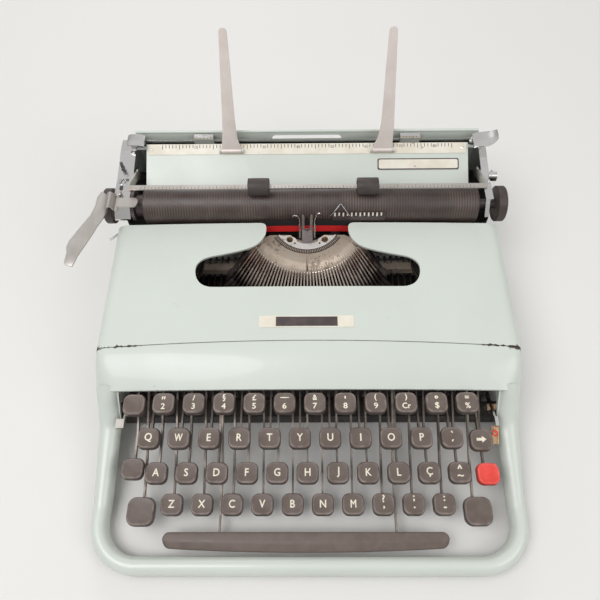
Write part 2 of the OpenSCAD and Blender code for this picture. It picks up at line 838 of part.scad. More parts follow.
// Bed of the carriage: a floor, guides between the rails and brackets for the feed rollers.
module carriage_bed() {
    color(dark_steel) difference() {
        union() {
            translate([-plate_x, front_rail_y - 3, bed_z])
                cube([2 * plate_x, plate_back_y - front_rail_y + 3, bed_t]);
            for (y = [front_rail_y + rail_d + pass_gap, rear_rail_y - pass_gap - 1.2])
                translate([-plate_x + 2, y, rear_top_z + 1.5])
                    cube([2 * plate_x - 4, 1.2, bed_z - rear_top_z]);
            for (x = [-62, 0, 62]) for (p = roller_places())
                translate([x - 1, p[0] - 3, bed_z + bed_t - 0.1]) cube([2, 6, p[1] - bed_z - bed_t + 2.6]);
        }
        for (p = roller_places()) translate([0, p[0], p[1]]) x_rod(feed_shaft_r, body_w);
    }
}

feed_r = 4.2;
feed_shaft_r = 1.8;
function roller_places() = [for (a = [-24, 24]) let (d = platen_r + feed_r + pass_gap)
    [axis_y + d * sin(a), axis_z - d * cos(a)]];

// Rubber feed rollers under the platen, in two rows.
module feed_rollers() {
    color(rubber) for (p = roller_places()) translate([0, p[0], p[1]]) {
        x_rod(feed_shaft_r, platen_len - 24);
        for (x = [-90, -31, 31, 90]) translate([x, 0, 0]) x_rod(feed_r, 44);
    }
}

// Outline of a carriage end plate in Y and Z.
function plate_top() = [
    [plate_back_y, axis_z + 13], [table_head[0] - 4, axis_z + 13], [axis_y + 18, axis_z + 9],
    [axis_y - 3, axis_z + 9], [axis_y - 11.5, axis_z - 1]
];

module end_profile() {
    polygon(concat(plate_top(), [
        [axis_y - 11.5, axis_z - 9], [axis_y - 7, bed_z], [plate_back_y, bed_z]
    ]));
}

// Flange along the sloping top of an end plate, from x = a to x = b.
module end_flange(a, b, first, last) {
    top = plate_top();
    for (i = [first:last]) translate([(a + b) / 2, 0, 0]) yz_plate(b - a)
        polygon([top[i], top[i + 1], top[i + 1] - [0, 1.5], top[i] - [0, 1.5]]);
}

module end_plate(x) {
    difference() {
        translate([x * (plate_x + plate_t / 2), 0, 0]) yz_plate(plate_t) {
            end_profile();
            translate(release_pivot) circle(3);
            translate(release_pivot - [3, 6]) square(6);
        }
        translate([0, axis_y, axis_z]) x_rod(journal_r + run_gap, 2 * body_w);
        translate([0, bail_pivot[0], bail_pivot[1]]) x_rod(bail_pin_r + run_gap, 2 * body_w);
    }
    translate([x * (plate_x - release_w / 2), release_pivot[0], release_pivot[1]])
        x_rod(release_pin_r, release_w + 1);
}

module left_end_plate() {
    color(chrome) {
        end_plate(-1);
        end_flange(-plate_x - plate_t - flange_w, -plate_x - plate_t + 0.1, 0, 3);
    }
}

module right_end_plate() {
    color(chrome) {
        end_plate(1);
        end_flange(plate_x + plate_t - 0.1, plate_x + plate_t + 2.5, 0, 2);
    }
}

module paper_table() {
    lip = 3;
    color(enamel) {
        yz_plate(table_w) {
            translate(table_foot) rotate(table_deg) translate([0, -table_t]) square([table_len, table_t]);
            translate(table_head) rotate(table_deg) translate([-table_t, -lip]) square([table_t, lip]);
        }
        translate([0, table_head[0] - 0.4, table_head[1] - lip - 0.3]) x_rod(1.5, 2 * plate_x);
        for (x = [-1, 1]) arm_lugs(x * arm_x);
    }
}

// Two ears and the pin that a paper arm folds on.
module arm_lugs(x) {
    for (d = [-1, 1]) translate([x + d * (arm_foot_w / 2 + pass_gap + 0.6), 0, 0]) yz_plate(1.2) {
        translate(arm_foot) circle(1.6);
        translate(arm_foot) rotate(table_deg) translate([-1.6, -2.4]) square([3.2, 2.4]);
    }
    translate([x, arm_foot[0], arm_foot[1]]) x_rod(arm_pin_r, arm_foot_w + 2 * pass_gap + 0.2);
}

module margin_rack() {
    color(chrome) difference() {
        translate([-plate_x, rack_y - rack_t / 2, rack_z - rack_h / 2]) cube([2 * plate_x, rack_t, rack_h]);
        for (i = [-45:45]) translate([i * 2.54, rack_y, rack_z - rack_h / 2])
            cube([1.2, 9, 2.4], center = true);
    }
}

// Saddle that slides on the margin rack.
module margin_stop(x) {
    g = pass_gap;
    leg = 0.8;
    top = rack_z + rack_h / 2 + g;
    color(chrome) translate([x - stop_w / 2, rack_y, 0]) {
        translate([0, -rack_t / 2 - g - leg, top]) cube([stop_w, rack_t + 2 * g + 2 * leg, 3.6]);
        for (s = [-1, 1]) translate([0, s * (rack_t / 2 + g + leg / 2) - leg / 2, top - 5])
            cube([stop_w, leg, 5.5]);
    }
}

module left_margin_stop() { margin_stop(-stop_x); }
module right_margin_stop() { margin_stop(stop_x); }

// Cover behind the carriage, with a hemmed top edge and a slot.
module rear_cover() {
    w = 2 * plate_x;
    z0 = bed_z;
    color(enamel) difference() {
        union() {
            translate([-w / 2, plate_back_y, z0]) cube([w, back_t, back_top_z - z0 - 1]);
            translate([0, plate_back_y + back_t / 2, back_top_z - 1.1]) x_rod(1.1, w);
        }
        translate([0, plate_back_y, back_top_z - 9]) rotate([90, 0, 0])
            linear_extrude(9, center = true) rounded(52, 9, 3);
    }
}

module platen() {
    color(rubber) translate([0, axis_y, axis_z]) difference() {
        x_rod(platen_r, platen_len);
        x_rod(8, platen_len + 2);
    }
}

// Core, journals and line-space ratchet, turned as one.
module platen_shaft() {
    teeth = 40;
    color(steel) translate([0, axis_y, axis_z]) {
        x_rod(8, platen_len);
        translate([(right_knob_x - knob_x) / 2, 0, 0]) x_rod(journal_r, knob_x + right_knob_x + 2 * knob_w);
        translate([-platen_len / 2 - 1.9, 0, 0]) difference() {
            x_rod(11, 2.2);
            for (i = [0:teeth - 1]) rotate([i * 360 / teeth, 0, 0]) translate([0, 0, 11.2]) rotate([45, 0, 0])
                cube([4, 1, 1], center = true);
        }
        translate([-platen_len / 2 - 0.4, 0, 0]) x_rod(6, 0.9);
    }
}

// Ribbed knob on the platen's shaft.
module knob(x) {
    ribs = 36;
    inner = x > 0 ? right_knob_x : knob_x;
    color(rubber) translate([x * (inner + knob_w / 2), axis_y, axis_z]) difference() {
        union() {
            x_rod(knob_r - 0.6, knob_w);
            translate([x * 0.5, 0, 0]) x_rod(knob_r, knob_w - 3);
        }
        x_rod(journal_r, knob_w + 2);
        for (i = [0:ribs - 1]) rotate([i * 360 / ribs, 0, 0]) translate([0, 0, knob_r + 0.5])
            x_rod(0.8, knob_w - 3);
    }
}

module left_knob() { knob(-1); }
module right_knob() { knob(1); }

bail_roller_r = 6.15;
bail_pivot = [axis_y + 25, axis_z + 6];
bail_z = axis_z + platen_r + bail_roller_r + pass_gap;
bail_x = plate_x - 2.2;
bail_pin_r = 2;

// Paper bail: a flat graduated bar, two arms and their pivots on the end plates.
module bail_bar() {
    color(chrome) {
        translate([0, axis_y, bail_z]) cube([2 * bail_x + 1.2, 3.6, 1.2], center = true);
        for (x = [-1, 1]) {
            translate([x * bail_x, 0, 0]) yz_plate(1.2) {
                translate(bail_pivot) circle(4);
                polygon([
                    bail_pivot + [-1, -3], [axis_y - 1.8, bail_z - 2.5], [axis_y - 1.8, bail_z + 0.6],
                    [axis_y + 4, bail_z + 0.6], bail_pivot + [1, 3]
                ]);
            }
            translate([x * (bail_x + 2), bail_pivot[0], bail_pivot[1]]) x_rod(bail_pin_r, 4);
        }
    }
}

module bail_rollers() {
    color(rubber) for (x = [-34, 42.5]) translate([x, axis_y, bail_z]) difference() {
        x_rod(bail_roller_r, 15);
        cube([20, 3.6, 1.2], center = true);
    }
}

// Paper arm: a flat strip with a wide foot, in its own sloping plane.
module paper_arm(x) {
    w = arm_foot_w / 2;
    tip = 3;
    color(chrome) translate([x * arm_x, arm_foot[0], arm_foot[1]]) rotate([-arm_lean, 0, 0]) difference() {
        union() {
            rotate([90, 0, 0]) linear_extrude(arm_t, center = true) {
                polygon([
                    [-w, 0], [w, 0], [w - 2, 6], [tip + 0.8, 14], [tip, arm_len - tip],
                    [-tip, arm_len - tip], [-tip - 0.8, 14], [-w + 2, 6]
                ]);
                translate([0, arm_len - tip]) circle(tip);
            }
            x_rod(arm_barrel_r, arm_foot_w);
        }
        x_rod(arm_pin_r + run_gap, 2 * arm_foot_w);
    }
}

module left_paper_arm() { paper_arm(-1); }
module right_paper_arm() { paper_arm(1); }

return_pivot = [-plate_x - plate_t - flange_w / 2, axis_y + 1];
return_z = axis_z + knob_r + 1;
return_deg = -115.5;

// Carriage return lever: a tapered blade that passes over the knob.
module return_lever() {
    color(chrome) translate([return_pivot[0], return_pivot[1], return_z]) {
        rotate([0, 0, return_deg]) linear_extrude(1.6) union() {
            polygon([[0, -3.2], [0, 3.2], [return_len - 5, 5], [return_len - 5, -3.4]]);
            translate([return_len - 5, 0.8]) circle(4.2);
        }
        cylinder(r = 5, h = 1.6);
        linear_extrude(1.6) {
            translate([0, -5]) square([flange_w / 2, 5.4]);
            translate([flange_w / 2, -2.3]) circle(2.75);
        }
        translate([0, 0, -return_z + axis_z + 9])
            cylinder(r = 2.6, h = return_z - axis_z - 8.5);
    }
}

// Place of the line-space selector, on the sloping flange.
space_lever = let (a = plate_top()[2], b = plate_top()[1], n = [a[1] - b[1], b[0] - a[0]])
    mix(a, b, 0.3) + (2 + pass_gap) * n / norm(n);

module line_space_lever() {
    color(dark_steel) translate([-plate_x - plate_t - flange_w / 2, space_lever[0], space_lever[1]]) {
        x_rod(2, 1.6);
        translate([-0.8, -1, 0]) cube([1.6, 2, 6]);
    }
}

release_pivot = [plate_back_y - 7, axis_z + 16.5];
release_w = 7;
release_pin_r = 1.2;

// Curled thumb lever at a rear corner of the carriage.
module release_lever(x, reach) {
    hub = release_w - pass_gap;
    color(chrome) translate([x * plate_x, release_pivot[0], release_pivot[1]]) difference() {
        union() {
            translate([-x * (pass_gap + hub / 2), 0, 0]) {
                x_rod(2.6, hub);
                translate([0, 0, 2]) cube([hub, 3, 4.2], center = true);
            }
            translate([x * (reach - release_w) / 2, 0, 4.2])
                cube([reach + release_w - 1, 7, 1.2], center = true);
            translate([x * (reach - 0.5), 0, 5.4]) rotate([90, 0, 0]) cylinder(r = 1.9, h = 7, center = true);
        }
        x_rod(release_pin_r + run_gap, 4 * release_w);
    }
}

module left_release_lever() { release_lever(-1, 7); }
module right_release_lever() { release_lever(1, 14); }

paper_release_pivot = [axis_y + 24, axis_z - 2];

// Lever at the right end that frees the feed rollers.
module paper_release_lever() {
    tip = [axis_y + 19, axis_z + 11];
    color(chrome) translate([plate_x + plate_t + 3.5, 0, 0]) {
        yz_plate(1.2) union() {
            translate(paper_release_pivot) circle(4);
            polygon([
                paper_release_pivot + [-3, 1], paper_release_pivot + [3, 1], tip + [2, 0], tip + [-2, 0]
            ]);
        }
        translate([3.6, tip[0], tip[1]]) cube([7, 5, 3], center = true);
        translate([-1.5, paper_release_pivot[0], paper_release_pivot[1]]) x_rod(2, 3.5);
    }
}

body_shell();
chassis_frame();
key_comb();
carriage_rail();
fulcrum_shaft();
rubber_feet();
spool_cups();
card_holder();
ribbon();
ribbon_cover();
number_row_caps();
upper_row_caps();
home_row_caps();
lower_row_caps();
number_row_levers();
upper_row_levers();
home_row_levers();
lower_row_levers();
h_key();
space_bar();
shift_linkage();
left_shift_key();
right_shift_key();
shift_lock_key();
backspace_key();
tab_key();
margin_release_key();
segment();
typebars();
h_typebar();
type_guide();
type_rest();
ribbon_vibrator();
left_spool();
right_spool();
ribbon_selector();
tab_set_lever();
mainspring_drum();
carriage_bed();
left_end_plate();
right_end_plate();
paper_table();
margin_rack();
rear_cover();
feed_rollers();
platen();
platen_shaft();
left_knob();
right_knob();
bail_bar();
bail_rollers();
left_paper_arm();
right_paper_arm();
return_lever();
line_space_lever();
left_release_lever();
right_release_lever();
paper_release_lever();
left_margin_stop();
right_margin_stop();
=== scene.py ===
"""Looks of the portable typewriter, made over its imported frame."""

from functools import cache
from math import cos, pi, radians, sin, sqrt, tan

import bmesh
import bpy
from mathutils import Matrix, Vector


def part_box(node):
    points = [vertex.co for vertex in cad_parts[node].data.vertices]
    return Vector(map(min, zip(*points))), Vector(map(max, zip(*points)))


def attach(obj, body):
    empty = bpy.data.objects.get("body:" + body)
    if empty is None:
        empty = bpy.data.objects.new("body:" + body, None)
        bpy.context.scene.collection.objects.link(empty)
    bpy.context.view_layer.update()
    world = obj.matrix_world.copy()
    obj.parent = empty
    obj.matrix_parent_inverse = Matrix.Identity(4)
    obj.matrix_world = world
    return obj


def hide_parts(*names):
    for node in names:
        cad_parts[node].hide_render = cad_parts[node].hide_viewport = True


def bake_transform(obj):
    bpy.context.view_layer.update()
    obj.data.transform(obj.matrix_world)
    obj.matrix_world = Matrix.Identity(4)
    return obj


bl_info = {
    "name": "Portable typewriter",
    "version": (1, 0, 0),
    "blender": (4, 5, 0),
    "location": "View3D > Sidebar > Typewriter",
    "description": "Makes the enamel, keys, type basket and carriage trim of a portable typewriter",
    "category": "Object",
}

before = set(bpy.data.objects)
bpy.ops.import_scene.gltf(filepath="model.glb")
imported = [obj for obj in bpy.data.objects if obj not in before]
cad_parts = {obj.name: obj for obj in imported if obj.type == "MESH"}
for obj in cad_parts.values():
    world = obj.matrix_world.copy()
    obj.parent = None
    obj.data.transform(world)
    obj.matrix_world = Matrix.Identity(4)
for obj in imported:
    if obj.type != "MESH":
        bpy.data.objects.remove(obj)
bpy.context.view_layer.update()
MM = 0.001

# Places that the pieces share with the solids, in millimetres.
HALF_W = 138.25
FRONT_Y = -148.0
REAR_Y = 136.0
OPEN_Y = -43.0
SEAM_Y = -13.3
SEAM_BOW = 4.5
SEAM_GAP = 0.6
COVER_BACK_Y = 79.0
COVER_Z = 62.5
COVER_BULGE = 0.8
DECK_EDGE_Z = 47.0
DECK_CROWN = 2.5
SEAM_EDGE_Z = 57.2
SEAM_MID_Z = 58.7
FLANK_ROUND = 16.75
SEAM_ROUND = 9.0
WALL = 1.6
SKIRT_Z = 3.0
CORNER_R = 32.0
RAIL_W = 11.0
REAR_TOP_Z = 32.0
COVER_SKIRT_Z = 46.0
AXIS_Y = 95.0
AXIS_Z = 62.8
TABLE_FOOT = (112.0, 63.0)
TABLE_DEG = 28.0
PRINT_POINT = (0.0, 80.7, 64.0)
AXIS_TILT = 28.0
X_AXIS = (1, 0, 0)
Z_AXIS = (0, 0, 1)
SIDES = (-1, 1)

KEY_PITCH = 19.05
BAR_DEEP = 11.6
BAR_W = 9.3 * KEY_PITCH
BAR_PLACE = (-2.07, FRONT_Y + 18.4, 16.5)
BAR_BOW_R = 1600.0
CAP_W = 14.0
CAP_D = 13.5
CAP_H = 5.5
CAP_RIM = 1.8
SHIFT_CAP = 17.5
ROW_Y = [FRONT_Y + 95.4 - i * KEY_PITCH + 2 * (i == 3) for i in range(4)]
ROW_Z = [20.0 + (3 - i) * 10.6 for i in range(4)]
ROW_X = [k * KEY_PITCH for k in (-4.78, -5.28, -5.03, -4.53)]
ROW_NAMES = ("number_row", "upper_row", "home_row", "lower_row")
ROW_LEGENDS = (
    (("″", "2"), ("/", "3"), ("§", "4"), ("£", "5"), ("—", "6"), ("&", "7"),
     ("'", "8"), ("(", "9"), (")", "Cr"), ("º", "$"), ("=", "%")),
    ("Q", "W", "E", "R", "T", "Y", "U", "I", "O", "P", ("`", "´")),
    ("A", "S", "D", "F", "G", "H", "J", "K", "L", "Ç", ("^", "~")),
    ("Z", "X", "C", "V", "B", "N", "M", ("?", ","), (";", "."), (":", "-")),
)
# Row and place of the key that has its own lever and typebar.
H_KEY = (2, 5)
# Keys beside the letters: node, body, x, y, top z, width, depth.
SIDE_KEYS = (
    ("margin_release_key", "margin_release", -5.75 * KEY_PITCH, ROW_Y[0] - 0.9, ROW_Z[0], CAP_W, CAP_D),
    ("shift_lock_key", "shift_lock", -5.82 * KEY_PITCH, ROW_Y[2] + 2.6, ROW_Z[2] + 0.5, CAP_W, CAP_D),
    ("backspace_key", "backspace", 5.66 * KEY_PITCH, ROW_Y[1] - 1.5, ROW_Z[1], CAP_W, CAP_D),
    ("tab_key", "tabulator", 5.89 * KEY_PITCH, ROW_Y[2] - 0.8, ROW_Z[2], CAP_W, CAP_D),
    ("left_shift_key", "shift", -5.53 * KEY_PITCH, ROW_Y[3] - 4.2, ROW_Z[3], SHIFT_CAP, SHIFT_CAP),
    ("right_shift_key", "shift", 5.55 * KEY_PITCH, ROW_Y[3] - 4.2, ROW_Z[3], SHIFT_CAP, SHIFT_CAP),
)
# Places of their levers across, those of the keys in key pitches.
SHIFT_X = [k * KEY_PITCH for k in (-5.53, 5.48)]
SPACE_ARM_X = [-56.35, 55.2]
LEVER_X = {"margin_release_key": -5.71, "shift_lock_key": -5.87, "backspace_key": 5.69, "tab_key": 5.86}


def colour_setting(name, description, default):
    """A colour that the panel shows."""
    return bpy.props.FloatVectorProperty(
        name=name, description=description, subtype="COLOR", size=3, default=default, min=0.0, max=1.0)


class ShellSettings(bpy.types.PropertyGroup):
    enamel: colour_setting("Enamel", "Colour of the stove enamel", (0.610, 0.655, 0.597))
    chips: bpy.props.FloatProperty(
        name="Chips", description="How much enamel is lost along the seam", subtype="FACTOR",
        default=0.6, min=0.0, max=1.0)
    steps: bpy.props.IntProperty(
        name="Steps", description="Steps of each rolled edge", default=14, min=6, max=24)


class KeySettings(bpy.types.PropertyGroup):
    plastic: colour_setting("Plastic", "Colour of the key tops", (0.118, 0.088, 0.074))
    red: colour_setting("Tabulator", "Colour of the tabulator key", (0.73, 0.058, 0.042))
    ink: colour_setting("Legends", "Colour of the moulded legends", (0.86, 0.80, 0.66))
    corner: bpy.props.FloatProperty(
        name="Corner", description="Corner radius of a key top in millimetres", default=4.3, min=2.0, max=6.0)
    letter: bpy.props.FloatProperty(
        name="Letter", description="Height of a single letter in millimetres", default=4.75, min=2.0, max=7.0)


class CarriageSettings(bpy.types.PropertyGroup):
    cream: colour_setting("Scale", "Colour of the scale strip", (0.80, 0.76, 0.66))
    spaces: bpy.props.IntProperty(
        name="Spaces", description="Character spaces on the scale", default=85, min=20, max=90)


class StageSettings(bpy.types.PropertyGroup):
    floor: colour_setting("Floor", "Colour of the floor", (0.74, 0.73, 0.71))
    light: bpy.props.FloatProperty(
        name="Light", description="Strength of the main lamp in watts", subtype="POWER",
        default=9.0, min=0.0, max=60.0)


def settings(kind):
    """The settings of that kind in the scene."""
    return getattr(bpy.context.scene, "typewriter_" + kind)


def ease(t):
    """A smooth step from 0 to 1."""
    t = min(max(t, 0.0), 1.0)
    return t * t * (3 - 2 * t)


def mix(a, b, t):
    """The value a share t of the way from a to b."""
    return a + (b - a) * t


# Mesh helpers. Points are in millimetres.

def face_outward(mesh):
    """Turns every face of a closed mesh outward."""
    work = bmesh.new()
    work.from_mesh(mesh)
    bmesh.ops.recalc_face_normals(work, faces=work.faces)
    work.to_mesh(mesh)
    work.free()


def smooth_faces(mesh, angle):
    """Shades a mesh smooth, with sharp edges where faces meet at more than an angle in degrees."""
    for face in mesh.polygons:
        face.use_smooth = True
    mesh.set_sharp_from_angle(angle=radians(angle))


class Mesh:
    """Gathers points and faces of several forms into one mesh."""

    def __init__(self):
        self.points = []
        self.faces = []

    def add(self, points, faces):
        k = len(self.points)
        self.points += [tuple(p) for p in points]
        self.faces += [tuple(i + k for i in f) for f in faces]

    def grid(self, rows, ring=False):
        """A sheet through rows of points; ring joins the last column to the first."""
        n, m = len(rows), len(rows[0])
        last = m if ring else m - 1
        self.add([p for row in rows for p in row], [
            (j * m + i, j * m + (i + 1) % m, (j + 1) * m + (i + 1) % m, (j + 1) * m + i)
            for j in range(n - 1) for i in range(last)])

    def loft(self, rings):
        """Closed rings joined into a solid with flat ends."""
        m = len(rings[0])
        k = len(self.points)
        self.grid(rings, ring=True)
        self.faces.append(tuple(k + i for i in reversed(range(m))))
        self.faces.append(tuple(k + (len(rings) - 1) * m + i for i in range(m)))

    def plate(self, outline, lift):
        """An outline in a plane, made thick: lift maps (u, v, side) to a point, side 0 or 1."""
        self.loft([[lift(u, v, s) for u, v in outline] for s in (0, 1)])

    def flat(self, outline, z, t):
        """A level plate over an outline in plan, t thick."""
        self.plate(outline, lambda u, v, s: (u, v, z + t * s))

    def box(self, low, high, edge=0.0):
        """A block with its upright and level edges broken by edge."""
        x0, y0, z0 = low
        x1, y1, z1 = high
        e = edge
        ring = lambda i, z: [
            (x0 + i + e, y0 + i, z), (x1 - i - e, y0 + i, z), (x1 - i, y0 + i + e, z), (x1 - i, y1 - i - e, z),
            (x1 - i - e, y1 - i, z), (x0 + i + e, y1 - i, z), (x0 + i, y1 - i - e, z), (x0 + i, y0 + i + e, z)]
        if e:
            self.loft([ring(e, z0), ring(0, z0 + e), ring(0, z1 - e), ring(e, z1)])
        else:
            self.loft([[(x, y, z) for x, y in rectangle(x0, y0, x1, y1)] for z in (z0, z1)])

    def revolve(self, profile, centre, axis, steps=32):
        """A solid of revolution from (radius, height) pairs along a unit axis."""
        axis = Vector(axis).normalized()
        side = axis.orthogonal().normalized()
        other = axis.cross(side)
        centre = Vector(centre)
        self.loft([[
            centre + axis * h + (side * cos(a) + other * sin(a)) * r
            for a in (2 * pi * i / steps for i in range(steps))] for r, h in profile])

    def tube(self, path, r, steps=10):
        """A round wire along a path."""
        path = [Vector(p) for p in path]
        rings = []
        side = None
        for k, p in enumerate(path):
            along = (path[min(k + 1, len(path) - 1)] - path[max(k - 1, 0)]).normalized()
            side = (side - along * side.dot(along) if side else along.orthogonal()).normalized()
            other = along.cross(side)
            turns = [2 * pi * i / steps for i in range(steps)]
            rings.append([p + (side * cos(a) + other * sin(a)) * r for a in turns])
        self.loft(rings)

    def screw_slot(self, centre, axis, along, length, width):
        """A dark bar of painted shade that stands for the slot of a screw."""
        axis, along, centre = Vector(axis).normalized(), Vector(along).normalized(), Vector(centre)
        over = axis.cross(along)
        self.plate(rectangle(-length / 2, -width / 2, length / 2, width / 2),
                   lambda u, v, k: centre + along * u + over * v + axis * 0.06 * k)

    def data(self, name):
        """The gathered mesh, in metres and with its faces outward."""
        mesh = bpy.data.meshes.new(name)
        mesh.from_pydata([(x * MM, y * MM, z * MM) for x, y, z in self.points], [], self.faces)
        face_outward(mesh)
        return mesh

    def piece(self, name, body, look, slot, angle=32.0, replaces=()):
        """Makes a piece that rides on a body, takes a finish and stands for the solids it replaces."""
        mesh = self.data(name)
        smooth_faces(mesh, angle)
        mesh.materials.append(finish(look))
        piece = bpy.data.objects.new(name, mesh)
        bpy.context.scene.collection.objects.link(piece)
        if body:
            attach(piece, body)
        if replaces:
            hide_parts(*replaces)
        return piece


def rounded_outline(corners, radius, steps=6):
    """A polygon with each corner rounded by radius."""
    out = []
    n = len(corners)
    for i in range(n):
        p, a, b = (Vector(corners[k % n]) for k in (i, i - 1, i + 1))
        to_a, to_b = (a - p), (b - p)
        half = to_a.angle(to_b) / 2
        reach = min(radius / tan(half), 0.49 * to_a.length, 0.49 * to_b.length)
        start, end = p + to_a.normalized() * reach, p + to_b.normalized() * reach
        for k in range(steps + 1):
            t = k / steps
            out.append(tuple(start * (1 - t) ** 2 + p * (2 * t * (1 - t)) + end * t * t))
    return out


def rectangle(x0, y0, x1, y1):
    """Corners of a rectangle, counter-clockwise."""
    return [(x0, y0), (x1, y0), (x1, y1), (x0, y1)]


def soft_square(w, d, r, steps=7):
    """Outline of a rounded rectangle about the origin, counter-clockwise."""
    r = min(r, w / 2 - 0.01, d / 2 - 0.01)
    out = []
    for cx, cy, a0 in ((1, -1, -90), (1, 1, 0), (-1, 1, 90), (-1, -1, 180)):
        for k in range(steps + 1):
            a = radians(a0 + 90 * k / steps)
            out.append((cx * (w / 2 - r) + r * cos(a), cy * (d / 2 - r) + r * sin(a)))
    return out


# Shader helpers.

def new_group(name, outputs, **inputs):
    """An empty node group: its output names, and each input with its default."""
    tree = bpy.data.node_groups.new(name, "ShaderNodeTree")
    for label, default in inputs.items():
        kind = "NodeSocketFloat" if isinstance(default, float) else "NodeSocketVector"
        socket = tree.interface.new_socket(label.replace("_", " "), in_out="INPUT", socket_type=kind)
        socket.default_value = default
    for label in outputs:
        tree.interface.new_socket(label, in_out="OUTPUT", socket_type="NodeSocketFloat")
    return tree, tree.nodes.new("NodeGroupInput").outputs, tree.nodes.new("NodeGroupOutput").inputs


def feed(tree, socket, value):
    """Sets a socket to a number, or links it to another socket."""
    if isinstance(value, (int, float)):
        socket.default_value = value
    else:
        tree.links.new(value, socket)


def math_node(tree, op, *values, clamp=False):
    """One step of arithmetic on numbers or sockets."""
    node = tree.nodes.new("ShaderNodeMath")
    node.operation = op
    node.use_clamp = clamp
    for socket, value in zip(node.inputs, values):
        feed(tree, socket, value)
    return node.outputs[0]


def remap(tree, value, low, high, to_low=0.0, to_high=1.0):
    """A smooth step of a value between two limits."""
    node = tree.nodes.new("ShaderNodeMapRange")
    node.interpolation_type = "SMOOTHSTEP"
    values = {"Value": value, "From Min": low, "From Max": high, "To Min": to_low, "To Max": to_high}
    for label, v in values.items():
        feed(tree, node.inputs[label], v)
    return node.outputs["Result"]


def noise_node(tree, vector, scale, detail, rough):
    """Noise at a place."""
    node = tree.nodes.new("ShaderNodeTexNoise")
    for label, v in (("Vector", vector), ("Scale", scale), ("Detail", detail), ("Roughness", rough)):
        feed(tree, node.inputs[label], v)
    return node.outputs["Fac"]


def place_coords(tree):
    """The place on a piece, in metres."""
    return tree.nodes.new("ShaderNodeTexCoord").outputs["Object"]


def split_coords(tree, where):
    """X, Y and Z of a place."""
    split = tree.nodes.new("ShaderNodeSeparateXYZ")
    tree.links.new(where, split.inputs[0])
    return split.outputs


@cache
def mottle_group():
    """Slow cloudy variation and a fine skin, for paint, plastic and metal."""
    tree, ins, outs = new_group("Mottle", ("Cloud", "Skin"), Scale=30.0, Skin_Scale=900.0)
    where = place_coords(tree)
    cloud = noise_node(tree, where, ins["Scale"], 4.0, 0.6)
    tree.links.new(remap(tree, cloud, 0.33, 0.67), outs["Cloud"])
    tree.links.new(noise_node(tree, where, ins["Skin Scale"], 2.0, 0.5), outs["Skin"])
    return tree


@cache
def speck_group():
    """Scattered small spots, for chips, pits and rust."""
    tree, ins, outs = new_group("Specks", ("Mask",), Scale=120.0, Amount=0.3)
    where = place_coords(tree)
    fine = noise_node(tree, where, ins["Scale"], 3.0, 0.6)
    patch = noise_node(tree, where, math_node(tree, "MULTIPLY", ins["Scale"], 0.17), 2.0, 0.5)
    both = math_node(tree, "ADD", math_node(tree, "MULTIPLY", fine, 0.6), math_node(tree, "MULTIPLY", patch, 0.4))
    edge = math_node(tree, "SUBTRACT", 0.74, math_node(tree, "MULTIPLY", ins["Amount"], 0.25))
    tree.links.new(remap(tree, math_node(tree, "SUBTRACT", both, edge), -0.01, 0.02), outs["Mask"])
    return tree


@cache
def brushed_group():
    """Fine lines along one direction, for brushed and rolled metal."""
    tree, ins, outs = new_group("Brushed", ("Lines",), Stretch=(40.0, 1500.0, 1500.0))
    scaled = tree.nodes.new("ShaderNodeVectorMath")
    scaled.operation = "MULTIPLY"
    tree.links.new(place_coords(tree), scaled.inputs[0])
    tree.links.new(ins["Stretch"], scaled.inputs[1])
    tree.links.new(noise_node(tree, scaled.outputs[0], 1.0, 3.0, 0.65), outs["Lines"])
    return tree


@cache
def ring_group():
    """Even rings along X, worn unevenly, for the platen."""
    tree, ins, outs = new_group("Rings", ("Lines",), Pitch=0.002)
    where = place_coords(tree)
    x = split_coords(tree, where)["X"]
    turn = math_node(tree, "DIVIDE", math_node(tree, "MULTIPLY", x, 2 * pi), ins["Pitch"])
    wave = math_node(tree, "MULTIPLY_ADD", math_node(tree, "SINE", turn), 0.5, 0.5)
    worn = noise_node(tree, where, 60.0, 3.0, 0.6)
    tree.links.new(math_node(tree, "MULTIPLY", wave, remap(tree, worn, 0.3, 0.7, 0.25, 1.0)), outs["Lines"])
    return tree


@cache
def seam_group():
    """Lost enamel along the seam between the deck and the ribbon cover, most of it at the two ends."""
    tree, ins, outs = new_group("Seam chips", ("Mask",), Amount=0.5)
    where = place_coords(tree)
    xyz = split_coords(tree, where)
    across = math_node(tree, "ABSOLUTE", math_node(tree, "DIVIDE", xyz["X"], HALF_W * MM))
    line = math_node(tree, "MULTIPLY", math_node(tree, "POWER", across, 2.0), -SEAM_BOW * MM)
    behind = math_node(tree, "SUBTRACT", xyz["Y"], line)
    off = math_node(tree, "ABSOLUTE", math_node(tree, "SUBTRACT", behind, (SEAM_Y + SEAM_GAP / 2) * MM))
    ends = remap(tree, across, 0.72, 1.0)
    rough = noise_node(tree, where, 150.0, 4.0, 0.7)
    widest = math_node(tree, "ADD", math_node(tree, "MULTIPLY", ends, 0.0040), 0.0002)
    reach = math_node(tree, "MULTIPLY", widest, ins["Amount"])
    bite = math_node(tree, "MULTIPLY", remap(tree, rough, 0.42, 0.68), reach)
    gap = math_node(tree, "SUBTRACT", bite, math_node(tree, "SUBTRACT", off, 0.00028))
    tree.links.new(remap(tree, gap, 0.0, 0.0004), outs["Mask"])
    return tree


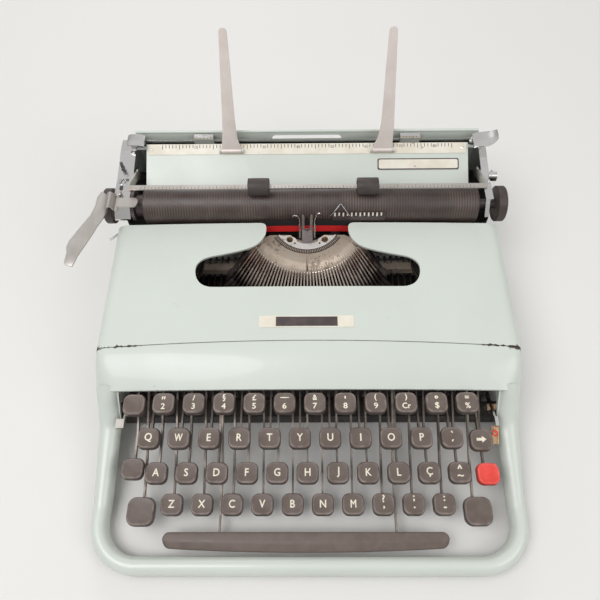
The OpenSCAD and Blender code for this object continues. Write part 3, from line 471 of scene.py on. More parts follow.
@cache
def fan_group():
    """Where a typebar is near the segment, by its distance from the printing axis."""
    tree, _, outs = new_group("Fan root", ("Root",))
    xyz = split_coords(tree, place_coords(tree))
    tilt = radians(90 - AXIS_TILT)
    y = math_node(tree, "MULTIPLY_ADD", xyz["Y"], cos(tilt), -PRINT_POINT[1] * MM * cos(tilt))
    z = math_node(tree, "MULTIPLY_ADD", xyz["Z"], sin(tilt), -PRINT_POINT[2] * MM * sin(tilt))
    down = math_node(tree, "ADD", y, z)
    square = math_node(tree, "ADD", math_node(tree, "MULTIPLY", down, down),
                       math_node(tree, "MULTIPLY", xyz["X"], xyz["X"]))
    tree.links.new(remap(tree, math_node(tree, "SQRT", square), 0.0525, 0.0590, 1.0, 0.0), outs["Root"])
    return tree


class Finish:
    """A material with a Principled shader and short calls to feed it."""

    def __init__(self, name, colour, roughness=0.5, metallic=0.0, coat=0.0):
        self.material = bpy.data.materials.new(name)
        self.material.use_nodes = True
        self.tree = self.material.node_tree
        self.shader = self.tree.nodes["Principled BSDF"].inputs
        self.base = (*colour, 1.0)
        self.colour = None
        self.shader["Base Color"].default_value = self.base
        self.shader["Roughness"].default_value = roughness
        self.shader["Metallic"].default_value = metallic
        self.shader["Coat Weight"].default_value = coat
        self.shader["Specular IOR Level"].default_value = 0.5

    def group(self, tree, **values):
        """Places a node group with its own values, and gives its outputs."""
        node = self.tree.nodes.new("ShaderNodeGroup")
        node.node_tree = tree
        for label, v in values.items():
            node.inputs[label.replace("_", " ")].default_value = v
        return node.outputs

    def tint(self, colour, mask, amount=1.0):
        """Mixes a colour in where the mask is high."""
        node = self.tree.nodes.new("ShaderNodeMix")
        node.data_type = "RGBA"
        factor = math_node(self.tree, "MULTIPLY", mask, amount) if amount != 1.0 else mask
        self.tree.links.new(factor, node.inputs["Factor"])
        if self.colour:
            self.tree.links.new(self.colour, node.inputs["A"])
        else:
            node.inputs["A"].default_value = self.base
        node.inputs["B"].default_value = (*colour, 1.0)
        self.colour = node.outputs["Result"]
        self.tree.links.new(self.colour, self.shader["Base Color"])

    def gloss(self, mask, low, high):
        """Lets a mask move the roughness between two values."""
        self.tree.links.new(remap(self.tree, mask, 0.0, 1.0, low, high), self.shader["Roughness"])

    def bump(self, height, distance, strength=1.0):
        """Adds relief over what is there, its distance in metres."""
        node = self.tree.nodes.new("ShaderNodeBump")
        node.inputs["Distance"].default_value = distance
        node.inputs["Strength"].default_value = strength
        self.tree.links.new(height, node.inputs["Height"])
        normal = self.shader["Normal"]
        if normal.is_linked:
            self.tree.links.new(normal.links[0].from_socket, node.inputs["Normal"])
        self.tree.links.new(node.outputs["Normal"], normal)


def layered(name, colour, roughness, metallic=0.0, coat=0.0, lines=None, rings=None, cloud=None, specks=None,
            tints=(), gloss=None, bump=None):
    """A finish from its layers. A tint is a mask, a colour or a share of the base colour, and an amount."""
    f = Finish(name, colour, roughness, metallic, coat)
    masks = {}
    if lines:
        masks["Lines"] = f.group(brushed_group(), Stretch=lines)["Lines"]
    if rings:
        masks["Lines"] = f.group(ring_group(), Pitch=rings)["Lines"]
    if cloud:
        mottle = f.group(mottle_group(), Scale=cloud[0], Skin_Scale=cloud[1])
        masks["Cloud"], masks["Skin"] = mottle["Cloud"], mottle["Skin"]
    if specks:
        masks["Specks"] = f.group(speck_group(), Scale=specks[0], Amount=specks[1])["Mask"]
    for mask, tint, amount in tints:
        f.tint(tint if isinstance(tint, tuple) else tuple(c * tint for c in colour), masks[mask], amount)
    if gloss:
        f.gloss(masks[gloss[0]], *gloss[1:])
    if bump:
        f.bump(masks[bump[0]], *bump[1:])
    return f


def sage_enamel(name):
    """Stove enamel, clouded and grimy, and lost along the seam."""
    shell = settings("shell")
    base = tuple(shell.enamel)
    f = Finish(name, base, 0.34, coat=0.25)
    cloud = f.group(mottle_group(), Scale=14.0, Skin_Scale=700.0)
    grime = f.group(speck_group(), Scale=260.0, Amount=0.17)
    chips = f.group(seam_group(), Amount=shell.chips)
    f.tint(tuple(c * 0.93 for c in base), cloud["Cloud"], 0.55)
    f.tint((0.25, 0.20, 0.16), grime["Mask"], 0.55)
    f.tint((0.075, 0.055, 0.045), chips["Mask"])
    f.gloss(cloud["Cloud"], 0.28, 0.40)
    f.bump(cloud["Skin"], 0.00004, 0.35)
    f.bump(math_node(f.tree, "SUBTRACT", 1.0, chips["Mask"]), 0.00012)
    return f


def moulded_plastic(name, base):
    """Key and knob plastic, paler along a key's rim for wear and a painted highlight, and darker down its skirt for
    painted shade.
    """
    f = Finish(name, base, 0.42)
    cloud = f.group(mottle_group(), Scale=160.0, Skin_Scale=2600.0)
    rim = f.tree.nodes.new("ShaderNodeAttribute")
    rim.attribute_name = "rim"
    # worn: the rim's wear together with a painted highlight along it; skirt: painted shade down the key's sides.
    worn = math_node(f.tree, "MULTIPLY", rim.outputs["Fac"], cloud["Cloud"], clamp=True)
    skirt = math_node(f.tree, "MULTIPLY", rim.outputs["Fac"], -1.0, clamp=True)
    f.tint(tuple(min(1.0, c * 1.22 + 0.012) for c in base), cloud["Cloud"], 0.6)
    f.tint(tuple(min(1.0, c * 1.7 + 0.09) for c in base), worn, 0.75)
    f.tint(tuple(c * 0.45 for c in base), skirt, 0.9)
    f.gloss(cloud["Cloud"], 0.36, 0.52)
    f.bump(cloud["Skin"], 0.00003, 0.4)
    return f


def typebar_steel(name):
    """Dark steel, lighter near the segment."""
    f = Finish(name, (0.075, 0.060, 0.054), 0.34, metallic=1.0)
    cloud = f.group(mottle_group(), Scale=120.0, Skin_Scale=1200.0)
    f.tint((0.02, 0.016, 0.015), cloud["Cloud"], 0.75)
    f.tint((0.70, 0.62, 0.55), f.group(fan_group())["Root"], 0.85)
    f.gloss(cloud["Cloud"], 0.24, 0.5)
    return f


def plated(colour, low, high, pits):
    """Layers of a plated metal with rust pits."""
    return dict(colour=colour, roughness=low, metallic=1.0, cloud=(60.0, 1200.0), specks=(520.0, pits),
                tints=(("Cloud", 0.86, 0.5), ("Specks", (0.22, 0.13, 0.08), 0.7)),
                gloss=("Cloud", low, high), bump=("Skin", 0.00001, 0.3))


def ribbon_cloth(colour):
    """Layers of inked ribbon."""
    return dict(colour=colour, roughness=0.72, lines=(2600.0, 2600.0, 700.0), tints=(("Lines", 0.7, 0.5),),
                bump=("Lines", 0.00003, 0.6))


LAYERS = {
    "bright_chrome": plated((0.74, 0.73, 0.72), 0.10, 0.24, 0.25),
    "shaft_steel": plated((0.50, 0.47, 0.44), 0.24, 0.42, 0.5),
    "screw_brass": plated((0.42, 0.27, 0.15), 0.36, 0.55, 0.7),
    # Brushed strip of the bail and of the return lever.
    "satin_steel": dict(
        colour=(0.62, 0.585, 0.55), roughness=0.36, metallic=1.0, lines=(1800.0, 60.0, 60.0), cloud=(70.0, 1000.0),
        tints=(("Cloud", (0.51, 0.455, 0.41), 0.5),), gloss=("Lines", 0.28, 0.48), bump=("Lines", 0.00002, 0.5)),
    # Pale strip of the paper arms: steel whose pale, pinkish tone is partly a painted reflection, standing in for the
    # shine of bright steel.
    "arm_steel": dict(
        colour=(0.80, 0.715, 0.675), roughness=0.36, metallic=0.22, lines=(1800.0, 60.0, 60.0), cloud=(70.0, 1000.0),
        tints=(("Cloud", (0.67, 0.585, 0.54), 0.5),), gloss=("Lines", 0.30, 0.48), bump=("Lines", 0.00002, 0.5)),
    "guide_steel": dict(
        colour=(0.46, 0.41, 0.40), roughness=0.34, metallic=0.55, lines=(1800.0, 200.0, 200.0), cloud=(260.0, 1500.0),
        tints=(("Cloud", (0.36, 0.31, 0.30), 0.6),), bump=("Lines", 0.00002, 0.5)),
    # Dull key levers with a bloom of rust.
    "lever_steel": dict(
        colour=(0.23, 0.20, 0.18), roughness=0.46, metallic=1.0, cloud=(90.0, 1400.0), specks=(160.0, 0.5),
        tints=(("Cloud", (0.15, 0.13, 0.115), 0.7), ("Specks", (0.15, 0.095, 0.065), 0.6)),
        gloss=("Cloud", 0.42, 0.66), bump=("Skin", 0.00003, 0.4)),
    # Shift levers and space bar arms, cleaner and paler than the key levers.
    "pale_lever_steel": dict(
        colour=(0.36, 0.315, 0.275), roughness=0.58, metallic=0.6, cloud=(90.0, 1400.0),
        tints=(("Cloud", (0.24, 0.195, 0.16), 0.7),), gloss=("Cloud", 0.5, 0.72), bump=("Skin", 0.00003, 0.4)),
    # Ground face of the segment under a brown patina.
    "segment_steel": dict(
        colour=(0.60, 0.515, 0.43), roughness=0.50, metallic=0.3, lines=(160.0, 700.0, 700.0), cloud=(95.0, 900.0),
        specks=(420.0, 0.66), tints=(("Cloud", (0.50, 0.40, 0.31), 0.7), ("Specks", (0.16, 0.11, 0.08), 0.6)),
        gloss=("Cloud", 0.48, 0.64), bump=("Lines", 0.00001, 0.5)),
    "plate_silver": dict(
        colour=(0.93, 0.90, 0.87), roughness=0.30, metallic=0.12, cloud=(140.0, 1800.0), specks=(420.0, 0.5),
        tints=(("Cloud", (0.66, 0.60, 0.55), 0.6), ("Specks", (0.25, 0.18, 0.14), 0.6)),
        gloss=("Cloud", 0.24, 0.42), bump=("Skin", 0.00002, 0.4)),
    "frame_black": dict(
        colour=(0.022, 0.018, 0.017), roughness=0.48, cloud=(60.0, 900.0), specks=(300.0, 0.5),
        tints=(("Cloud", (0.05, 0.04, 0.035), 0.7), ("Specks", (0.16, 0.13, 0.11), 0.5)),
        gloss=("Cloud", 0.4, 0.66), bump=("Skin", 0.00004, 0.4)),
    "plate_dark": dict(
        colour=(0.055, 0.040, 0.042), roughness=0.4, cloud=(120.0, 1500.0),
        tints=(("Cloud", (0.10, 0.075, 0.07), 0.6),)),
    # Hardened rubber in fine turned rings.
    "platen_rubber": dict(
        colour=(0.052, 0.037, 0.033), roughness=0.46, rings=0.0019, cloud=(50.0, 1500.0),
        tints=(("Lines", (0.165, 0.118, 0.100), 0.75), ("Cloud", (0.03, 0.022, 0.02), 0.35)),
        gloss=("Lines", 0.34, 0.58), bump=("Lines", 0.00010, 0.6)),
    "dark_rubber": dict(
        colour=(0.040, 0.030, 0.028), roughness=0.62, cloud=(150.0, 1800.0),
        tints=(("Cloud", (0.085, 0.066, 0.058), 0.6),), gloss=("Cloud", 0.5, 0.74), bump=("Skin", 0.00005, 0.5)),
    "ribbon_black": ribbon_cloth((0.022, 0.018, 0.020)),
    "ribbon_red": ribbon_cloth((0.86, 0.020, 0.022)),
    "scale_ink": dict(
        colour=(0.030, 0.022, 0.020), roughness=0.6, cloud=(500.0, 2500.0),
        tints=(("Cloud", (0.20, 0.16, 0.13), 0.5),)),
    "aged_label": dict(
        colour=(0.62, 0.42, 0.24), roughness=0.55, specks=(700.0, 0.9), cloud=(400.0, 2500.0),
        tints=(("Cloud", (0.45, 0.26, 0.13), 0.7), ("Specks", (0.16, 0.08, 0.05), 0.7))),
    "legend_cream": dict(
        roughness=0.55, cloud=(400.0, 3000.0), tints=(("Cloud", (0.62, 0.55, 0.42), 0.5),)),
    "scale_cream": dict(
        roughness=0.42, coat=0.1, cloud=(70.0, 1500.0), specks=(260.0, 0.4), gloss=("Cloud", 0.34, 0.5),
        tints=(("Cloud", (0.66, 0.58, 0.46), 0.6), ("Specks", (0.30, 0.20, 0.13), 0.6))),
}


@cache
def finish(look):
    """The material of that name, made on first use."""
    name = look.replace("_", " ").capitalize()
    keys = settings("keys")
    if look == "sage_enamel":
        made = sage_enamel(name)
    elif look == "typebar_steel":
        made = typebar_steel(name)
    elif look in LAYERS:
        own = {"legend_cream": keys.ink, "scale_cream": settings("carriage").cream}
        chosen = {"colour": tuple(own[look])} if look in own else {}
        made = layered(name, **LAYERS[look], **chosen)
    else:
        plastics = {"key_plastic": keys.plastic, "red_plastic": keys.red, "knob_plastic": (0.045, 0.032, 0.028)}
        made = moulded_plastic(name, tuple(plastics[look]))
    return made.material


# The pressed shell and the ribbon cover.

def side_z(y):
    """Height of the shell's flank line along the machine."""
    f = y - FRONT_Y
    return 0.24 + 0.283 * max(f, 40) + 18.8 * ease((f - 84) / 42)


def shoulder_z(y):
    """Where the flank starts to roll over."""
    return side_z(y) - 2.5


def crown_z(y):
    """Top of the rolled keyboard rail."""
    return side_z(y) + 4 + 3.6 * ease((y - FRONT_Y - 85) / 20)


def rail_width(y):
    """Width of the rail, growing towards the deck."""
    return mix(RAIL_W, 15.0, ease((y - FRONT_Y - 30) / 75))


def seam(x):
    """Front edge of the ribbon cover in plan."""
    return SEAM_Y - SEAM_BOW * (x / HALF_W) ** 2


def rail_stations():
    """Places round the keyboard opening, each with its inward direction."""
    half = [(HALF_W, mix(OPEN_Y + 3, FRONT_Y + CORNER_R, i / 36), -1, 0) for i in range(37)]
    for k in range(1, 25):
        a = radians(-90 * k / 24)
        half.append((HALF_W - CORNER_R + CORNER_R * cos(a), FRONT_Y + CORNER_R + CORNER_R * sin(a),
                     -cos(a), -sin(a)))
    half += [(mix(HALF_W - CORNER_R, 0, i / 8), FRONT_Y, 0, 1) for i in range(1, 9)]
    return half + [(-s[0], s[1], -s[2], s[3]) for s in reversed(half[:-1])]


def rail_section(s, t, steps):
    """Section of the rail at a station, inset by t."""
    w = rail_width(s[1])
    low = shoulder_z(s[1])
    rise = crown_z(s[1]) - low - t
    foot = max(SKIRT_Z, crown_z(s[1]) - mix(9, 5, ease((s[1] - FRONT_Y - 50) / 50)))
    uz = [(t, SKIRT_Z), (t, mix(SKIRT_Z, low, 0.5))]
    for k in range(steps + 1):
        a = pi * (1 - k / steps)
        uz.append((w / 2 + (w / 2 - t) * cos(a), low + rise * sin(a)))
    uz += [(w - t, mix(low, foot, 0.5)), (w - t, foot)]
    return [(s[0] + s[2] * u, s[1] + s[3] * u, z) for u, z in uz]


def deck_section(foot, low, edge, mid, round_w, t, steps):
    """Section across the deck or the cover, inset by t."""
    flank = HALF_W - round_w
    right = [(HALF_W - t, foot), (HALF_W - t, mix(foot, low, 0.5))]
    for k in range(steps + 1):
        a = pi / 2 * k / steps
        right.append((flank + (round_w - t) * cos(a), low + (edge - t - low) * sin(a)))
    for k in range(1, 12):
        f = 1 - k / 12
        right.append((flank * f, edge - t + (mid - edge) * (1 - f * f)))
    return right + [(0, mid - t)] + [(-x, z) for x, z in reversed(right)]


def thick_sheet(mesh, outer, inner):
    """Two grids of points joined along their rims into a closed sheet."""
    n, m = len(outer), len(outer[0])
    k = len(mesh.points)
    mesh.grid(outer)
    mesh.grid(inner)
    edge = [(0, i) for i in range(m)] + [(j, m - 1) for j in range(1, n)]
    edge += [(n - 1, i) for i in range(m - 2, -1, -1)] + [(j, 0) for j in range(n - 2, 0, -1)]
    for (j0, i0), (j1, i1) in zip(edge, edge[1:] + edge[:1]):
        a, b = k + j0 * m + i0, k + j1 * m + i1
        mesh.faces.append((a, b, b + n * m, a + n * m))


def two_faced(mesh, rows, columns, sides, point):
    """A closed sheet whose two faces are point(row, column, side) for each side."""
    thick_sheet(mesh, *([[point(r, c, side) for c in columns] for r in rows] for side in sides))


def deck_rows(t, steps):
    """Sections of the deck, from the keyboard opening to the seam."""
    rows = []
    for k in range(25):
        v = k / 24
        y = mix(OPEN_Y, SEAM_Y - SEAM_BOW, v)
        g = sin(pi / 2 * v)
        s = deck_section(SKIRT_Z, shoulder_z(y), mix(DECK_EDGE_Z, SEAM_EDGE_Z, g),
                         mix(DECK_EDGE_Z + DECK_CROWN, SEAM_MID_Z, g), mix(FLANK_ROUND, SEAM_ROUND, v), t, steps)
        rows.append([(x, mix(OPEN_Y, seam(x), v), z) for x, z in s])
    return rows


def cover_heights(v):
    """Height of the ribbon cover along its middle and at its flanks, from its seam to its rear edge."""
    bulge = COVER_BULGE * sin(pi * v)
    return mix(SEAM_MID_Z, COVER_Z, v) + bulge, mix(SEAM_EDGE_Z, COVER_Z - 2, v) + bulge


def cover_rows(t, steps):
    """Sections of the ribbon cover, from the seam to its rear edge."""
    rows = []
    for k in range(37):
        v = k / 36
        mid, edge = cover_heights(v)
        s = deck_section(COVER_SKIRT_Z, 53.4, edge, mid, SEAM_ROUND, t, steps)
        rows.append([(x, mix(seam(x) + SEAM_GAP, COVER_BACK_Y, v), z) for x, z in s])
    return rows


def cover_height(x, y):
    """Height of the ribbon cover's face at a place in plan."""
    front = seam(x) + SEAM_GAP
    mid, edge = cover_heights((y - front) / (COVER_BACK_Y - front))
    return edge + (mid - edge) * (1 - (x / (HALF_W - SEAM_ROUND)) ** 2)


def wall_path(t):
    """Plan of the side and rear walls, from the right front to the left front."""
    r = 14 - t
    x, y0, y1 = HALF_W - t, SEAM_Y - SEAM_BOW - 3, REAR_Y - t
    half = [(x, mix(y0, COVER_BACK_Y + 1, i / 10)) for i in range(11)]
    half += [(x, COVER_BACK_Y + 1.01), (x, mix(COVER_BACK_Y + 1, y1 - r, 0.5))]
    for k in range(17):
        a = pi / 2 * k / 16
        half.append((x - r + r * cos(a), y1 - r + r * sin(a)))
    return half + [(-px, py) for px, py in reversed(half)]


def wall_top(i, n):
    """Top of the walls at a point of their plan: under the cover, then low behind."""
    i = min(i, n - 1 - i)
    return COVER_SKIRT_Z - 0.5 if i <= 10 else REAR_TOP_Z


def shell_walls(mesh):
    """The side and rear walls of the shell."""
    outer, inner = wall_path(0), wall_path(WALL)
    n = len(outer)
    rows = lambda path: [[(x, y, mix(SKIRT_Z, wall_top(i, n), up)) for i, (x, y) in enumerate(path)]
                         for up in (0, 0.5, 1)]
    thick_sheet(mesh, rows(outer), rows(inner))


def smooth_path(points, steps=5):
    """A curve through every point."""
    out = []
    for k in range(len(points) - 1):
        a, b, c, d = (Vector(points[min(max(k + n, 0), len(points) - 1)]) for n in (-1, 0, 1, 2))
        for m in range(steps):
            t = m / steps
            out.append(tuple(0.5 * (2 * b + (c - a) * t + (2 * a - 5 * b + 4 * c - d) * t ** 2
                                    + (3 * b - a - 3 * c + d) * t ** 3)))
    return out + [tuple(points[-1])]


# Right half of the cover's opening, back from its rear edge.
CUTOUT = (
    (33.3, 0.0), (31.2, -0.6), (29.8, -2.0), (29.3, -4.4), (29.5, -8.0), (30.7, -12.0), (33.2, -16.0), (37.2, -19.6),
    (43.0, -22.3), (51.0, -24.6), (60.0, -26.7), (68.0, -28.4), (73.2, -30.7), (76.4, -34.2), (77.4, -38.2),
    (77.0, -42.6), (75.4, -46.8), (72.4, -50.2), (68.2, -52.1), (63.0, -52.6), (40.0, -52.6), (0.0, -52.6),
)


def cutout_outline():
    """Opening over the type basket: a neck behind and two wings in front."""
    side = [(33.3, COVER_BACK_Y + 20)] + [(x, COVER_BACK_Y + y) for x, y in smooth_path(CUTOUT)[:-1]]
    return side + [(-x, y) for x, y in reversed(side)]


# Lip that hangs from the deck's front edge: half its length and its drop.
LIP_HALF, LIP_DROP = HALF_W - 16, 2.4


class TYPEWRITER_OT_shell(bpy.types.Operator):
    """Makes the enamelled shell with its rolled keyboard rail"""
    bl_idname = "typewriter.shell"
    bl_label = "Shell"

    def execute(self, context):
        steps = settings("shell").steps
        mesh = Mesh()
        stations = rail_stations()
        thick_sheet(mesh, [rail_section(s, 0, 2 * steps) for s in stations],
                    [rail_section(s, WALL, 2 * steps) for s in stations])
        thick_sheet(mesh, deck_rows(0, steps), deck_rows(WALL, steps))
        lip = [LIP_HALF * (1 - k / 12) for k in range(25)]
        lip_z = lambda x: DECK_EDGE_Z + DECK_CROWN * (1 - (x / (HALF_W - FLANK_ROUND)) ** 2) - 0.4
        two_faced(mesh, (LIP_DROP, 0), lip, (0, WALL),
                  lambda drop, x, inset: (x, OPEN_Y + inset + 0.25 * drop, lip_z(x) - drop))
        shell_walls(mesh)
        mesh.piece("enamel_shell", "chassis", "sage_enamel", "enamel", 35.0, ("body_shell",))
        return {"FINISHED"}


class TYPEWRITER_OT_cover(bpy.types.Operator):
    """Makes the ribbon cover with the opening over the type basket"""
    bl_idname = "typewriter.cover"
    bl_label = "Ribbon cover"

    def execute(self, context):
        steps = settings("shell").steps
        sheet = Mesh()
        thick_sheet(sheet, cover_rows(0, steps), cover_rows(WALL, steps))
        piece = sheet.piece("enamel_cover", "cover", "sage_enamel", "enamel", 35.0, ("ribbon_cover",))
        tool = Mesh()
        tool.flat(cutout_outline(), 40, 50)
        knife = bpy.data.objects.new("cutout_tool", tool.data("cutout_tool"))
        context.scene.collection.objects.link(knife)
        cut = piece.modifiers.new("Cut-out", "BOOLEAN")
        cut.object = knife
        cut.solver = "EXACT"
        context.view_layer.update()
        result = bpy.data.meshes.new_from_object(piece.evaluated_get(context.evaluated_depsgraph_get()))
        piece.modifiers.clear()
        piece.data = result
        smooth_faces(result, 35.0)
        bpy.data.objects.remove(knife)
        return {"FINISHED"}


# Keys.

def cap_height(dx, dy, w, d):
    """Height of a key top's dished face below its rim, at an offset from its middle."""
    far = max(abs(dx) / (w / 2 - CAP_RIM), abs(dy) / (d / 2 - CAP_RIM))
    return -0.62 + 0.34 * min(far, 1.0) ** 2


# Side of a key top: inset, height and rim tint, from the foot of the skirt over the rim to the dish; the tint is
# paler above 0 for wear and a painted highlight, and darker below 0 for painted shade on the skirt.
CAP_PROFILE = (
    (0.45, -CAP_H, -1), (0.1, -CAP_H + 0.35, -1), (0.0, -3.4, -1), (0.05, -2.0, -1), (0.15, -1.4, -0.6),
    (0.25, -1.0, 0.3), (0.42, -0.5, 1.0), (0.7, -0.2, 1.0), (1.0, -0.12, 0.8), (1.4, -0.2, 0.25), (CAP_RIM, -0.28, 0),
)


def add_cap(mesh, rims, x, y, z, w, d, corner):
    """A key top: a skirt, a rounded shoulder, a thin rim and a dish."""
    rings = []
    for inset, h, rim in CAP_PROFILE:
        ring = soft_square(w - 2 * inset, d - 2 * inset, max(corner - 0.65 * inset, 1.2))
        rings.append([(x + u, y + v, z + h) for u, v in ring])
        rims += [rim] * len(ring)
    for share in (0.75, 0.5, 0.25):
        ring = soft_square((w - 2 * CAP_RIM) * share, (d - 2 * CAP_RIM) * share, (corner - 1.2) * share)
        rings.append([(x + u, y + v, z + cap_height(u, v, w, d)) for u, v in ring])
        rims += [0.0] * len(ring)
    mesh.loft(rings)


def cap_piece(name, places, body, nodes, plastic="key_plastic"):
    """Key tops on one body, with a layer for the rim's wear and painted highlight and for the skirt's painted shade.
    """
    mesh, rims = Mesh(), []
    corner = settings("keys").corner
    for x, y, z, w, d in places:
        add_cap(mesh, rims, x, y, z, w, d, corner * (1.25 if w > 15 else 1.0))
    piece = mesh.piece(name, body, plastic, plastic, 40.0, nodes)
    layer = piece.data.attributes.new("rim", "FLOAT", "POINT")
    layer.data.foreach_set("value", rims)


LEVER_T = 1.2
LEVER_HALF = 1.8
SHAFT_Y, SHAFT_Z = 80.0, 9.5


def add_lever(mesh, x, y, z):
    """A flat key lever: level from its shaft, up to the comb, then down under the other rows to its key."""
    top = z - CAP_H + 0.3
    bends = [(-64.0, 24.2)] if y < -80 else []
    if y < -100:
        bends.append((-84.0, 11.8 if y < -120 else 16.8))
    side = [(SHAFT_Y, SHAFT_Z - LEVER_HALF), (-25.0, 9.4), (-36.2, 31.6)] + [(u, v - LEVER_HALF) for u, v in bends]
    side += [(y - 1.5, top - 4.6), (y - 1.5, top), (y + 1.5, top), (y + 2.6, top - 1.4)]
    side += [(u, v + LEVER_HALF) for u, v in reversed(bends)]
    side += [(-38.0, 36.4), (-35.0, 36.2), (-22.5, 13.0), (SHAFT_Y, SHAFT_Z + LEVER_HALF)]
    left = x - LEVER_T / 2
    mesh.plate(side, lambda u, v, k: (left + LEVER_T * k, u, v))
    mesh.revolve([(4.5, 0.0), (4.5, LEVER_T)], (left, SHAFT_Y, SHAFT_Z), X_AXIS, 20)


def lever_piece(name, body, places, nodes, steel="lever_steel"):
    """Key levers that move together, one under each place."""
    mesh = Mesh()
    for x, y, z in places:
        add_lever(mesh, x, y, z)
    mesh.piece(name, body, steel, "key_steel", 32.0, nodes)


def row_places(i):
    """Middles of a row's keys, from left to right."""
    return [ROW_X[i] + k * KEY_PITCH for k in range(len(ROW_LEGENDS[i]))]


# Comb behind the keyboard: half its length, its front and rear face, and the sill before it.
COMB_HALF, COMB_Y, COMB_REAR_Y = 115.5, -39.0, -37.5
SILL_HALF, SILL_Y = 129.5, -50.4
SLOT_HALF = 0.95
# Bars of the comb: half length, front, rear, foot and top.
COMB_BARS = (
    (COMB_HALF, COMB_Y, COMB_REAR_Y, 39.6, 42.0), (COMB_HALF, SILL_Y, COMB_REAR_Y, 17.0, 18.2),
    (COMB_HALF, COMB_Y, COMB_REAR_Y, 18.0, 21.0), (SILL_HALF, SILL_Y, SILL_Y + 1.2, 5.0, 17.4),
)
# Bar that joins the two shift levers: radius and place.
SHIFT_BAR_R, SHIFT_BAR_Y, SHIFT_BAR_Z = 1.5, -21.3, 23.5


class TYPEWRITER_OT_keys(bpy.types.Operator):
    """Makes the dished key tops with their levers, the shift levers and the comb that guides them"""
    bl_idname = "typewriter.keys"
    bl_label = "Keys"

    def execute(self, context):
        for i, row in enumerate(ROW_NAMES):
            places = [(x, ROW_Y[i], ROW_Z[i], CAP_W, CAP_D)
                      for k, x in enumerate(row_places(i)) if (i, k) != H_KEY]
            cap_piece(row + "_tops", places, row, (row + "_caps",))
            lever_piece(row + "_bars", row, [at[:3] for at in places], (row + "_levers",))
        row, place = H_KEY
        h = (row_places(row)[place], ROW_Y[row], ROW_Z[row], CAP_W, CAP_D)
        cap_piece("h_top", [h], "h_letter", ())
        lever_piece("h_lever", "h_letter", [h[:3]], ("h_key",))
        for node, body, x, y, z, w, d in SIDE_KEYS:
            plastic = "red_plastic" if node == "tab_key" else "key_plastic"
            whole = (node,) if "shift_key" in node else ()
            cap_piece(node.replace("_key", "_top"), [(x, y, z, w, d)], body, whole, plastic)
            if not whole:
                lever_piece(node.replace("_key", "_lever"), body, [(LEVER_X[node] * KEY_PITCH, y, z)], (node,))
        shift = Mesh()
        for x in SHIFT_X:
            add_lever(shift, x, SIDE_KEYS[4][3], ROW_Z[3])
            shift.box((x - LEVER_T / 2, SHIFT_BAR_Y - 3, 10.0), (x + LEVER_T / 2, SHIFT_BAR_Y + 3, SHIFT_BAR_Z + 2))
        shift.revolve([(SHIFT_BAR_R, x) for x in SHIFT_X], (0, SHIFT_BAR_Y, SHIFT_BAR_Z), X_AXIS, 24)
        shift.piece("shift_levers", "shift", "pale_lever_steel", "key_steel", 32.0, ("shift_linkage",))
        comb = Mesh()
        slots = sorted([x for i in range(4) for x in row_places(i)] + [x * KEY_PITCH for x in LEVER_X.values()]
                       + SHIFT_X + SPACE_ARM_X)
        edges = [-COMB_HALF] + [x + side * SLOT_HALF for x in slots for side in SIDES] + [COMB_HALF]
        for a, b in zip(edges[::2], edges[1::2]):
            if b - a > 0.3:
                comb.box((a, COMB_Y, 20.0), (b, COMB_REAR_Y, 40.0))
        for half, front, rear, low, high in COMB_BARS:
            comb.box((-half, front, low), (half, rear, high))
        for left, right in ((-SILL_HALF, -COMB_HALF - 0.1), (COMB_HALF + 0.1, SILL_HALF)):
            comb.box((left, SILL_Y, 17.0), (right, COMB_Y - 1.0, 18.2))
        comb.piece("lever_comb", "chassis", "frame_black", "dark_steel", 32.0, ("key_comb",))
        return {"FINISHED"}


# Section of the space bar: share of its depth from the rear, and height.
BAR_PROFILE = (
    (0.10, -CAP_H), (0.04, -CAP_H + 0.4), (0.0, -2.6), (0.0, -0.75), (0.015, -0.42), (0.05, -0.16), (0.10, -0.03),
    (0.16, 0.0), (0.42, -0.02), (0.52, -0.10), (0.58, -0.24), (0.62, -0.40), (0.92, -1.75), (0.965, -2.05),
    (0.99, -2.5), (1.0, -3.0), (1.0, -4.2), (0.96, -CAP_H + 0.4), (0.90, -CAP_H),
)
BAR_END = 5.0


def bar_edges(u):
    """Rear and front edge of the space bar at a place along it: rounded ends and a bowed front."""
    half, rear_r, front_r = BAR_W / 2, 4.0, 4.6
    rear = BAR_DEEP / 2
    front = -BAR_DEEP / 2 + 0.05 + u * u / (2 * BAR_BOW_R)
    over = max(abs(u) - half + rear_r, 0.0)
    rear -= rear_r - sqrt(max(rear_r ** 2 - over ** 2, 0.0))
    over = max(abs(u) - half + front_r, 0.0)
    front += front_r - sqrt(max(front_r ** 2 - over ** 2, 0.0))
    return rear, front


class TYPEWRITER_OT_space_bar(bpy.types.Operator):
    """Makes the ridged space bar over its two arms"""
    bl_idname = "typewriter.space_bar"
    bl_label = "Space bar"

    def execute(self, context):
        x, y, z = BAR_PLACE
        half = BAR_W / 2
        flat = half - BAR_END
        ends = [half - BAR_END * (1 - sin(pi / 2 * k / 10)) for k in range(1, 10)] + [half - 0.004]
        stations = [-u for u in reversed(ends)] + [mix(-flat, flat, k / 40) for k in range(41)] + ends
        rings = []
        for u in stations:
            rear, front = bar_edges(u)
            fall = 0.9 * (1 - sqrt(max(1 - (max(abs(u) - flat, 0) / BAR_END) ** 2, 0.0)))
            rings.append([(x + u, y + mix(rear, front, t), z + h - fall * (h > -3.1)) for t, h in BAR_PROFILE])
        bar = Mesh()
        bar.loft(rings)
        bar.piece("space_bar_top", "space", "key_plastic", "key_plastic", 25.0)
        lever_piece("space_arms", "space", [(at, y, z) for at in SPACE_ARM_X], ("space_bar",), "pale_lever_steel")
        return {"FINISHED"}


